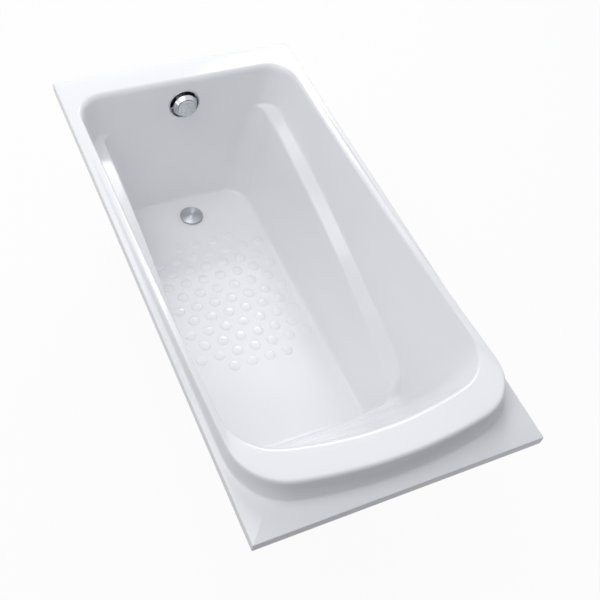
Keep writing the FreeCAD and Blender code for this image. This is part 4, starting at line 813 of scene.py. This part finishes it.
def rim_points(s, inset, radius, height):
    """A rounded rectangle, inset from the rim's outside."""
    x = s.rim_length / 2 - inset - radius
    y = s.rim_width / 2 - inset - radius
    points = []
    for quarter, (sx, sy) in enumerate(((1, 1), (-1, 1), (-1, -1), (1, -1))):
        for i in range(RIM_CORNER_STEPS + 1):
            turn = math.pi / 2 * (quarter + i / RIM_CORNER_STEPS)
            points.append((sx * x + radius * math.cos(turn), sy * y + radius * math.sin(turn),
                           height))
    return points


def circle_points(centre, radius, steps):
    return [centre + Vector((radius * math.cos(turn), radius * math.sin(turn), 0))
            for turn in (2 * math.pi * i / steps for i in range(steps))]


def rim_loops(s, bm):
    """Loops from the flat rim over its rounded edge, down the skirt and up inside it."""
    tight = s.rim_edge_round / TIGHT_PART
    loops = []
    for i in range(RIM_EDGE_STEPS + 1):
        turn = math.pi / 2 * i / RIM_EDGE_STEPS
        inset = s.rim_edge_round * (1 - math.sin(turn))
        drop = s.rim_edge_round * (1 - math.cos(turn))
        loops.append((inset, max(s.rim_edge_round - inset, tight), -drop))
    loops += [(0, s.rim_edge_round, -s.skirt_height), (s.wall, tight, -s.skirt_height),
              (s.wall, tight, -s.wall)]
    return [closed_loop(bm, rim_points(s, inset, radius, s.rim_height + z))
            for inset, radius, z in loops]


def drain_centre(s):
    """Middle of the drain hole, on the floor."""
    return Vector((s.rim_length / 2 - s.drain_place, 0, s.rim_height - s.well_depth))


def wall_frame(s):
    """Places things on the drain end's wall: Z points out of it, X up along it, at the overflow."""
    lip = line_reaches(s)["lip"][1]
    slope = s.drain_wall_lean / s.well_depth
    middle = Vector((lip - slope * s.overflow_drop, 0, s.rim_height - s.overflow_drop))
    return Matrix.Translation(middle) @ Matrix.Rotation(math.atan(slope) - math.pi / 2, 4, "Y")


def shell_mesh(s):
    """The moulded sheet as one closed mesh; its back takes the second finish."""
    lines = moulding_lines(s)
    backs = under_lines(s, lines)
    face = smooth_sheet("bath_face", surface_poles(s, lines, 0), s.rim_height, FACE_LEVELS)
    back = smooth_sheet("bath_back", surface_poles(s, backs, s.wall), s.rim_height, BACK_LEVELS)
    bm = bmesh.new()
    bm.from_mesh(face)
    ready = len(bm.faces)
    bm.from_mesh(back)
    bm.faces.ensure_lookup_table()
    for moulded in bm.faces[ready:]:
        moulded.material_index = 1
    rings = []
    for material, drop in enumerate((0, s.wall)):
        centre = drain_centre(s) - Vector((0, 0, drop))
        edges = open_edges(bm, centre.z)
        rings.append(closed_loop(bm, circle_points(centre, s.drain_hole_radius, HOLE_STEPS)))
        flat_fill(bm, edges + loop_edges(rings[-1]), material)
    band(bm, *rings, 1)
    face_edges = open_edges(bm, s.rim_height)
    back_edges = open_edges(bm, s.rim_height - s.wall)
    loops = rim_loops(s, bm)
    for i, (upper, lower) in enumerate(zip(loops, loops[1:])):
        band(bm, upper, lower, 1 if i == len(loops) - 2 else 0)
    flat_fill(bm, face_edges + loop_edges(loops[0]), 0)
    flat_fill(bm, back_edges + loop_edges(loops[-1]), 1)
    return mesh_of(bm, "bath_shell")


def turned_mesh(name, profile, place):
    """A closed shape turned about its Z axis from a profile of radius and height."""
    bm = bmesh.new()
    rings = []
    for radius, height in profile:
        middle = Vector((0, 0, height))
        places = [middle] if radius < TOUCH else circle_points(middle, radius, TURNED_STEPS)
        rings.append([bm.verts.new(place) for place in places])
    for here, there in ringed(rings):
        for i in range(TURNED_STEPS):
            corners = [here[i % len(here)], here[(i + 1) % len(here)],
                       there[(i + 1) % len(there)], there[i % len(there)]]
            corners = list(dict.fromkeys(corners))
            if len(corners) > 2:
                bm.faces.new(corners)
    bm.transform(place)
    return mesh_of(bm, name)


def rounded(points):
    """A closed profile whose corners are rounded; each point is radius, height, rounding."""
    profile = []
    for i, (x, z, radius) in enumerate(points):
        here = Vector((x, z))
        if not radius:
            profile.append((x, z))
            continue
        before = Vector(points[i - 1][:2]) - here
        after = Vector(points[(i + 1) % len(points)][:2]) - here
        half = before.angle(after) / 2
        reach = min(radius / math.tan(half), before.length * ROUNDING_SHARE,
                    after.length * ROUNDING_SHARE)
        start = here + before.normalized() * reach
        end = here + after.normalized() * reach
        for k in range(ROUNDING_STEPS + 1):
            t = k / ROUNDING_STEPS
            point = start * (1 - t) ** 2 + here * (2 * t * (1 - t)) + end * t ** 2
            profile.append((max(point.x, 0), point.y))
    return profile


def turned_piece(name, points, place, body, *replaced, **looks):
    """A shown piece turned from a rounded profile."""
    mesh = turned_mesh(name, rounded(points), place)
    finished(name, mesh, body, "chrome_trim", *replaced, **looks)


# Geometry node trees

SOCKETS = {"Segments": "NodeSocketInt", "Material": "NodeSocketMaterial"}
THREAD_SHARE = 0.42         # of the pitch, from the middle of a thread's ridge to its crest


def new_tree(name, *labels):
    """A geometry node tree and its named inputs; one that SOCKETS doesn't list is a length."""
    tree = bpy.data.node_groups.new(name, "GeometryNodeTree")
    for way in ("INPUT", "OUTPUT"):
        tree.interface.new_socket("Geometry", in_out=way, socket_type="NodeSocketGeometry")
    for label in (*labels, "Material"):
        tree.interface.new_socket(label, in_out="INPUT",
                                  socket_type=SOCKETS.get(label, "NodeSocketFloat"))
    return tree, tree.nodes.new("NodeGroupInput").outputs


def end_tree(tree, given, instance, **turned):
    """Close a tree: a copy on every point, made real meshes with their finish."""
    laid = add(tree, "GeometryNodeInstanceOnPoints",
               {"Points": given["Geometry"], "Instance": instance, **turned})
    real = add(tree, "GeometryNodeRealizeInstances", {"Geometry": laid.outputs["Instances"]})
    dressed = add(tree, "GeometryNodeSetMaterial", {"Geometry": real.outputs["Geometry"],
                                                    "Material": given["Material"]})
    add(tree, "NodeGroupOutput", {"Geometry": dressed.outputs["Geometry"]})
    return tree


def grown(name, base, tree, values):
    """The mesh that a tree grows from a base mesh, with its inputs set by name."""
    obj = new_object(name, base)
    growth = obj.modifiers.new(name, "NODES")
    growth.node_group = tree
    for item in tree.interface.items_tree:
        if item.item_type == "SOCKET" and item.in_out == "INPUT" and item.name in values:
            growth[item.identifier] = values[item.name]
    return baked(obj)


def dot_tree():
    """One raised dot with soft shoulders on every point."""
    tree, given = new_tree("non_slip_dots", "Radius", "Top Radius", "Height", "Segments")
    cone = add(tree, "GeometryNodeMeshCone", {
        "Vertices": given["Segments"], "Side Segments": 5, "Fill Segments": 1,
        "Radius Top": given["Top Radius"], "Radius Bottom": given["Radius"],
        "Depth": given["Height"]}, fill_type="TRIANGLE_FAN")
    open_cone = add(tree, "GeometryNodeDeleteGeometry", {
        "Geometry": cone.outputs["Mesh"], "Selection": cone.outputs["Bottom"]}, domain="FACE")
    place = add(tree, "GeometryNodeInputPosition").outputs["Position"]
    parts = add(tree, "ShaderNodeSeparateXYZ", {"Vector": place}).outputs
    flat = add(tree, "ShaderNodeCombineXYZ", {"X": parts["X"], "Y": parts["Y"]}).outputs["Vector"]
    away = add(tree, "ShaderNodeVectorMath", {0: flat}, operation="LENGTH").outputs["Value"]
    height = add(tree, "ShaderNodeMapRange", {
        "Value": away, "From Min": given["Radius"], "From Max": given["Top Radius"],
        "To Min": 0.0, "To Max": given["Height"]},
        interpolation_type="SMOOTHSTEP").outputs["Result"]
    moved = add(tree, "ShaderNodeCombineXYZ", {
        "X": parts["X"], "Y": parts["Y"], "Z": height}).outputs["Vector"]
    dot = add(tree, "GeometryNodeSetPosition", {
        "Geometry": open_cone.outputs["Geometry"], "Position": moved}).outputs["Geometry"]
    return end_tree(tree, given, dot)


def rib_tree():
    """A half-round grip rib on every point, turned as the point's attribute says."""
    tree, given = new_tree("grip_ribs", "Width", "Length")
    half = add(tree, "ShaderNodeMath", {0: given["Width"], 1: 2.0}, operation="DIVIDE").outputs[0]
    rod = add(tree, "GeometryNodeMeshCylinder", {
        "Vertices": 10, "Side Segments": 1, "Radius": half, "Depth": given["Length"]},
        fill_type="NGON").outputs["Mesh"]
    turn = add(tree, "GeometryNodeInputNamedAttribute", {"Name": "turn"},
               data_type="FLOAT_VECTOR").outputs["Attribute"]
    return end_tree(tree, given, rod, Rotation=turn)


def thread_tree():
    """A screw thread wound along Z from the points."""
    tree, given = new_tree("screw_thread", "Radius", "Pitch", "Length")
    turns = add(tree, "ShaderNodeMath", {0: given["Length"], 1: given["Pitch"]},
                operation="DIVIDE").outputs[0]
    spiral = add(tree, "GeometryNodeCurveSpiral", {
        "Resolution": 20, "Rotations": turns, "Start Radius": given["Radius"],
        "End Radius": given["Radius"], "Height": given["Length"]}).outputs["Curve"]
    ridge = add(tree, "ShaderNodeMath", {0: given["Pitch"], 1: THREAD_SHARE},
                operation="MULTIPLY").outputs[0]
    profile = add(tree, "GeometryNodeCurvePrimitiveCircle", {
        "Resolution": 4, "Radius": ridge}).outputs["Curve"]
    wound = add(tree, "GeometryNodeCurveToMesh", {
        "Curve": spiral, "Profile Curve": profile, "Fill Caps": True}).outputs["Mesh"]
    return end_tree(tree, given, wound)


# Operators

class BATHTUB_OT_finish_fittings(bpy.types.Operator):
    """Give every part of the frame the finish of its material"""
    bl_idname = "bathtub.finish_fittings"
    bl_label = "Finish the Fittings"

    def execute(self, context):
        for name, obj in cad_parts.items():
            slot = obj.material_slots[0].name
            obj.material_slots[0].material = finish_of(OWN_FINISHES.get(name, slot))
        return {"FINISHED"}


class BATHTUB_OT_shell(bpy.types.Operator):
    """Mould the bath's sheet with its collar, armrests, well and skirt"""
    bl_idname = "bathtub.shell"
    bl_label = "Shell"

    def execute(self, context):
        s = context.scene.bathtub_shell
        blank = new_object("bath_blank", shell_mesh(s))
        reach = s.wall * CUTTER_WALLS
        tool = new_object("overflow_cutter", turned_mesh(
            "overflow_cutter", [(0, -reach), (s.overflow_hole_radius, -reach),
                                (s.overflow_hole_radius, reach), (0, reach)], wall_frame(s)))
        hole = blank.modifiers.new("Overflow", "BOOLEAN")
        hole.operation = "DIFFERENCE"
        hole.solver = "EXACT"
        hole.object = tool
        mesh = baked(blank)
        bpy.data.objects.remove(tool)
        finished("bath_shell", mesh, "tub", "acrylic", "tub_shell", crease=SOFT_CREASE,
                 materials=("acrylic", "acrylic_backing"))
        return {"FINISHED"}


SHORT_ROW = 3               # dots that the two end rows lack


def dots_per_row(s, dots):
    """As many dots as the floor's width takes, one fewer in every other row, and short end rows."""
    floor_half = line_reaches(s)["floor"][2]
    full = int(2 * (floor_half - dots.margin - dots.radius) / dots.pitch_across) + 1
    middle = [full if row % 2 else full - 1 for row in range(1, dots.rows - 1)]
    return [full - SHORT_ROW] + middle + [full - SHORT_ROW]


class BATHTUB_OT_dots(bpy.types.Operator):
    """Lay rows of non-slip dots on the floor, each row half a pitch off the last"""
    bl_idname = "bathtub.dots"
    bl_label = "Non-slip Dots"

    def execute(self, context):
        s = context.scene.bathtub_shell
        dots = context.scene.bathtub_dots
        per_row = dots_per_row(s, dots)
        start = drain_centre(s) - Vector((dots.gap + dots.pitch_along * (dots.rows - 1), 0, 0))
        points = [start + Vector((dots.pitch_along * row,
                                  dots.pitch_across * (i - (number - 1) / 2), 0))
                  for row, number in enumerate(per_row) for i in range(number)]
        mesh = grown("non_slip_dots", plain_mesh("dot_places", points), dot_tree(), {
            "Radius": dots.radius, "Top Radius": dots.top_radius, "Height": dots.height,
            "Segments": dots.segments, "Material": finish_of("acrylic")})
        finished("non_slip_dots", mesh, "tub", "acrylic", crease=SOFT_CREASE)
        return {"FINISHED"}


FIT_PART = 16               # of an edge's rounding, between a shaft and its bore
DOME_STEPS = 14
DOME_POWER = 2.4            # how long the plug's dome stays flat before it falls to its edge


class BATHTUB_OT_overflow(bpy.types.Operator):
    """Turn the overflow's trim ring and its knob"""
    bl_idname = "bathtub.overflow"
    bl_label = "Overflow"

    def execute(self, context):
        t = context.scene.bathtub_trim
        place = wall_frame(context.scene.bathtub_shell)
        turned_piece("overflow_trim", [
            (t.neck_bore, -t.neck_length, 0), (t.neck_radius, -t.neck_length, 0),
            (t.neck_radius, 0, 0), (t.ring_radius, 0, 0),
            (t.ring_radius, t.ring_thickness, t.edge * 2),
            (t.neck_bore, t.ring_thickness, t.edge * 2)], place, "tub", "overflow_ring")
        bore = t.spindle_radius + t.edge / FIT_PART
        inner_face = t.knob_face_radius - t.knob_wall
        groove_edge = t.knob_face_radius + t.knob_groove_width
        groove_floor = t.knob_shoulder - t.knob_groove_depth
        lip = t.knob_stand_off + t.knob_base_lip
        turned_piece("overflow_knob_cover", [
            (bore, t.knob_hub_place, 0), (t.knob_hub_radius, t.knob_hub_place, 0),
            (t.knob_hub_radius, t.knob_height - t.knob_wall, 0),
            (inner_face, t.knob_height - t.knob_wall, 0),
            (inner_face, groove_floor - t.knob_wall, 0),
            (t.knob_radius - t.knob_wall, groove_floor - t.knob_wall, 0),
            (t.knob_base_radius - t.knob_wall, lip, 0),
            (t.knob_base_radius - t.knob_wall, t.knob_stand_off, t.edge / 2),
            (t.knob_base_radius, t.knob_stand_off, t.edge / 2), (t.knob_base_radius, lip, t.edge),
            (t.knob_radius, t.knob_shoulder, t.edge), (groove_edge, t.knob_shoulder, t.edge / 4),
            (groove_edge, groove_floor, t.edge / 4), (t.knob_face_radius, groove_floor, t.edge / 4),
            (t.knob_face_radius, t.knob_height, t.edge * 1.5), (0, t.knob_height, 0),
            (0, t.spindle_top, 0), (bore, t.spindle_top, 0)], place, "knob", "overflow_knob")
        return {"FINISHED"}


class BATHTUB_OT_plug(bpy.types.Operator):
    """Turn the plug's domed cover"""
    bl_idname = "bathtub.plug"
    bl_label = "Plug"

    def execute(self, context):
        t = context.scene.bathtub_trim
        seat = drain_centre(context.scene.bathtub_shell) + Vector((0, 0, t.plug_place))
        bore = t.stem_radius + t.edge / FIT_PART
        stem_top = t.stem_grip - t.plug_neck_length
        dome = []
        for i in range(DOME_STEPS + 1):
            out = 1 - i / DOME_STEPS
            rise = (t.plug_crown - t.plug_edge) * (1 - out ** DOME_POWER)
            dome.append(((t.plug_radius - t.edge) * out, t.plug_edge + rise, 0))
        turned_piece("plug_cover", [
            (bore, -t.plug_neck_length, 0), (t.plug_neck_radius, -t.plug_neck_length, t.edge),
            (t.plug_neck_radius, 0, 0), (t.plug_radius, 0, t.edge / 2),
            (t.plug_radius, t.plug_edge, t.edge), *dome, (0, stem_top, 0), (bore, stem_top, 0)],
            Matrix.Translation(seat), "plug", "plug_cap", materials=("spun_trim",))
        return {"FINISHED"}


class BATHTUB_OT_nut_grips(bpy.types.Operator):
    """Set grip ribs round the slip nuts of the waste"""
    bl_idname = "bathtub.nut_grips"
    bl_label = "Slip Nut Grips"

    def execute(self, context):
        t = context.scene.bathtub_trim
        points, turns = [], []
        for middle, axis, radius in slip_nut_places():
            across = axis.orthogonal().normalized()
            beside = axis.cross(across)
            for i in range(t.ribs):
                turn = 2 * math.pi * i / t.ribs
                points.append(middle + (across * math.cos(turn) + beside * math.sin(turn)) * radius)
                turns.append(axis.to_track_quat("Z", "Y").to_euler())
        base = plain_mesh("rib_places", points)
        stored = base.attributes.new("turn", "FLOAT_VECTOR", "POINT")
        for item, turn in zip(stored.data, turns):
            item.vector = turn
        mesh = grown("slip_nut_ribs", base, rib_tree(), {
            "Width": t.rib_width, "Length": t.rib_length, "Material": finish_of("black_fittings")})
        finished("slip_nut_ribs", mesh, "tub", "black_fittings")
        return {"FINISHED"}


def loose_parts(node):
    """Boxes of the separate solids in a CAD node."""
    bm = bmesh.new()
    bm.from_mesh(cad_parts[node].data)
    bmesh.ops.remove_doubles(bm, verts=bm.verts, dist=TOUCH)
    seen = set()
    boxes = []
    for vert in bm.verts:
        if vert in seen:
            continue
        group, wave = {vert}, [vert]
        while wave:
            for edge in wave.pop().link_edges:
                for other in edge.verts:
                    if other not in group:
                        group.add(other)
                        wave.append(other)
        seen |= group
        low = Vector([min(v.co[k] for v in group) for k in range(3)])
        high = Vector([max(v.co[k] for v in group) for k in range(3)])
        boxes.append((low, high))
    bm.free()
    return boxes


def slip_nut_places():
    """Middle, axis and outer radius of each slip nut."""
    places = []
    for low, high in loose_parts("slip_nuts"):
        spans = high - low
        axis = Vector((0, 0, 0))
        shortest = min(range(3), key=lambda k: spans[k])
        axis[shortest] = 1
        places.append(((low + high) / 2, axis, max(spans) / 2))
    return places


class BATHTUB_OT_foot_threads(bpy.types.Operator):
    """Wind the threads on the feet's studs"""
    bl_idname = "bathtub.foot_threads"
    bl_label = "Foot Threads"

    def execute(self, context):
        t = context.scene.bathtub_trim
        tree = thread_tree()
        for node in sorted(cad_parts):
            if not node.startswith("foot_stud_"):
                continue
            low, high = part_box(node)
            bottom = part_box(node.replace("stud", "pad"))[1][2] + t.thread_pitch
            start = Vector(((low[0] + high[0]) / 2, (low[1] + high[1]) / 2, bottom))
            name = node + "_thread"
            mesh = grown(name, plain_mesh("thread_start", [start]), tree, {
                "Radius": (high[0] - low[0]) / 2 - t.thread_pitch * THREAD_SHARE,
                "Pitch": t.thread_pitch, "Length": high[2] - start.z - t.thread_pitch,
                "Material": finish_of("zinc_steel")})
            finished(name, mesh, node.replace("foot_stud_", "foot_"), "zinc_steel",
                     crease=THREAD_CREASE)
        return {"FINISHED"}


FLOOR_PAINT = 0.9           # how pale the part of the floor is that takes shadows
SENSOR_WIDTH = 36           # millimetres
SIGHT = 100                 # metres that the camera sees


class BATHTUB_OT_stage(bpy.types.Operator):
    """Set up the pale floor, the soft light and the camera"""
    bl_idname = "bathtub.stage"
    bl_label = "Stage"

    def execute(self, context):
        settings = context.scene.bathtub_stage
        lay_floor(settings)
        light_room(settings)
        for lamp in LAMPS:
            hang_lamp(lamp + "_lamp", *(getattr(settings, f"{lamp}_{part}")
                                        for part in ("place", "size", "power")))
        set_camera(settings)
        context.scene.view_settings.view_transform = "Standard"
        return {"FINISHED"}


def seen_directly(tree):
    """1 where the camera, a reflection or clear glass sees the surface, 0 where it only lights."""
    rays = add(tree, "ShaderNodeLightPath").outputs
    both = add(tree, "ShaderNodeMath", {0: rays["Is Camera Ray"], 1: rays["Is Glossy Ray"]},
               operation="MAXIMUM").outputs[0]
    return add(tree, "ShaderNodeMath", {0: both, 1: rays["Is Transmission Ray"]},
               operation="MAXIMUM").outputs[0]


def lay_floor(settings):
    half = settings.floor_size / 2
    corners = [(-half, -half, 0), (half, -half, 0), (half, half, 0), (-half, half, 0)]
    mesh = plain_mesh("floor", corners, [(0, 1, 2, 3)])
    floor = new_object("floor", mesh)
    made = bpy.data.materials.new("pale_floor")
    tree = empty_tree(made)
    tone = tuple(settings.floor)
    dull = add(tree, "ShaderNodeBsdfDiffuse", {"Color": tinted(tone, settings.floor_bounce)})
    bright = add(tree, "ShaderNodeBsdfDiffuse", {"Color": tinted(tone, FLOOR_PAINT)})
    glow = add(tree, "ShaderNodeEmission", {"Color": tone, "Strength": 1.0})
    pale = add(tree, "ShaderNodeMixShader",
               {0: settings.floor_glow, 1: bright.outputs[0], 2: glow.outputs[0]})
    both = add(tree, "ShaderNodeMixShader",
               {0: seen_directly(tree), 1: dull.outputs[0], 2: pale.outputs[0]})
    add(tree, "ShaderNodeOutputMaterial", {"Surface": both.outputs[0]})
    mesh.materials.append(made)


def light_room(settings):
    world = bpy.data.worlds.new("room")
    bpy.context.scene.world = world
    tree = empty_tree(world)
    sky = add(tree, "ShaderNodeBackground", {
        "Color": settings.sky_colour, "Strength": settings.sky})
    white = add(tree, "ShaderNodeBackground", {"Color": settings.backdrop, "Strength": 1.0})
    both = add(tree, "ShaderNodeMixShader",
               {0: seen_directly(tree), 1: sky.outputs[0], 2: white.outputs[0]})
    add(tree, "ShaderNodeOutputWorld", {"Surface": both.outputs[0]})


def hang_lamp(name, place, size, watts):
    """A soft square lamp that points at the middle of the rim."""
    lamp = bpy.data.lights.new(name, "AREA")
    lamp.size = size
    lamp.energy = watts
    obj = new_object(name, lamp)
    away = Vector(place) - Vector((0, 0, CAD_BOX[1][2]))
    obj.matrix_world = Matrix.Translation(place) @ away.to_track_quat("Z", "Y").to_matrix().to_4x4()


def set_camera(settings):
    """The camera stands where the photograph was taken from."""
    camera = bpy.data.cameras.new("photo_camera")
    camera.sensor_width = SENSOR_WIDTH
    camera.lens = settings.lens
    camera.clip_end = SIGHT
    obj = new_object("photo_camera", camera)
    axes = (Matrix.Rotation(settings.azimuth, 4, "Z")
            @ Matrix.Rotation(math.pi / 2 - settings.elevation, 4, "X")
            @ Matrix.Rotation(settings.roll, 4, "Z"))
    obj.matrix_world = Matrix.Translation(settings.camera) @ axes
    bpy.context.scene.camera = obj


class BATHTUB_PT_panel(bpy.types.Panel):
    """The bathtub's steps, in order"""
    bl_label = "Bathtub"
    bl_idname = "BATHTUB_PT_panel"
    bl_space_type = "VIEW_3D"
    bl_region_type = "UI"
    bl_category = "Bathtub"

    def draw(self, context):
        for operator in OPERATORS:
            self.layout.operator(operator.bl_idname)


OPERATORS = (BATHTUB_OT_finish_fittings, BATHTUB_OT_shell, BATHTUB_OT_dots, BATHTUB_OT_overflow,
             BATHTUB_OT_plug, BATHTUB_OT_nut_grips, BATHTUB_OT_foot_threads, BATHTUB_OT_stage)
SETTINGS = {"bathtub_shell": ShellSizes, "bathtub_dots": DotSizes, "bathtub_trim": TrimSizes,
            "bathtub_colours": FinishColours, "bathtub_stage": StageSettings}


def register():
    for cls in (*SETTINGS.values(), *OPERATORS, BATHTUB_PT_panel):
        bpy.utils.register_class(cls)
    for name, cls in SETTINGS.items():
        setattr(bpy.types.Scene, name, bpy.props.PointerProperty(type=cls))


def unregister():
    for name in SETTINGS:
        delattr(bpy.types.Scene, name)
    for cls in reversed((*SETTINGS.values(), *OPERATORS, BATHTUB_PT_panel)):
        bpy.utils.unregister_class(cls)


def main():
    register()
    bpy.ops.bathtub.finish_fittings()
    bpy.ops.bathtub.shell()
    bpy.ops.bathtub.dots()
    bpy.ops.bathtub.overflow()
    bpy.ops.bathtub.plug()
    bpy.ops.bathtub.nut_grips()
    bpy.ops.bathtub.foot_threads()
    bpy.ops.bathtub.stage()


if __name__ == "__main__":
    main()
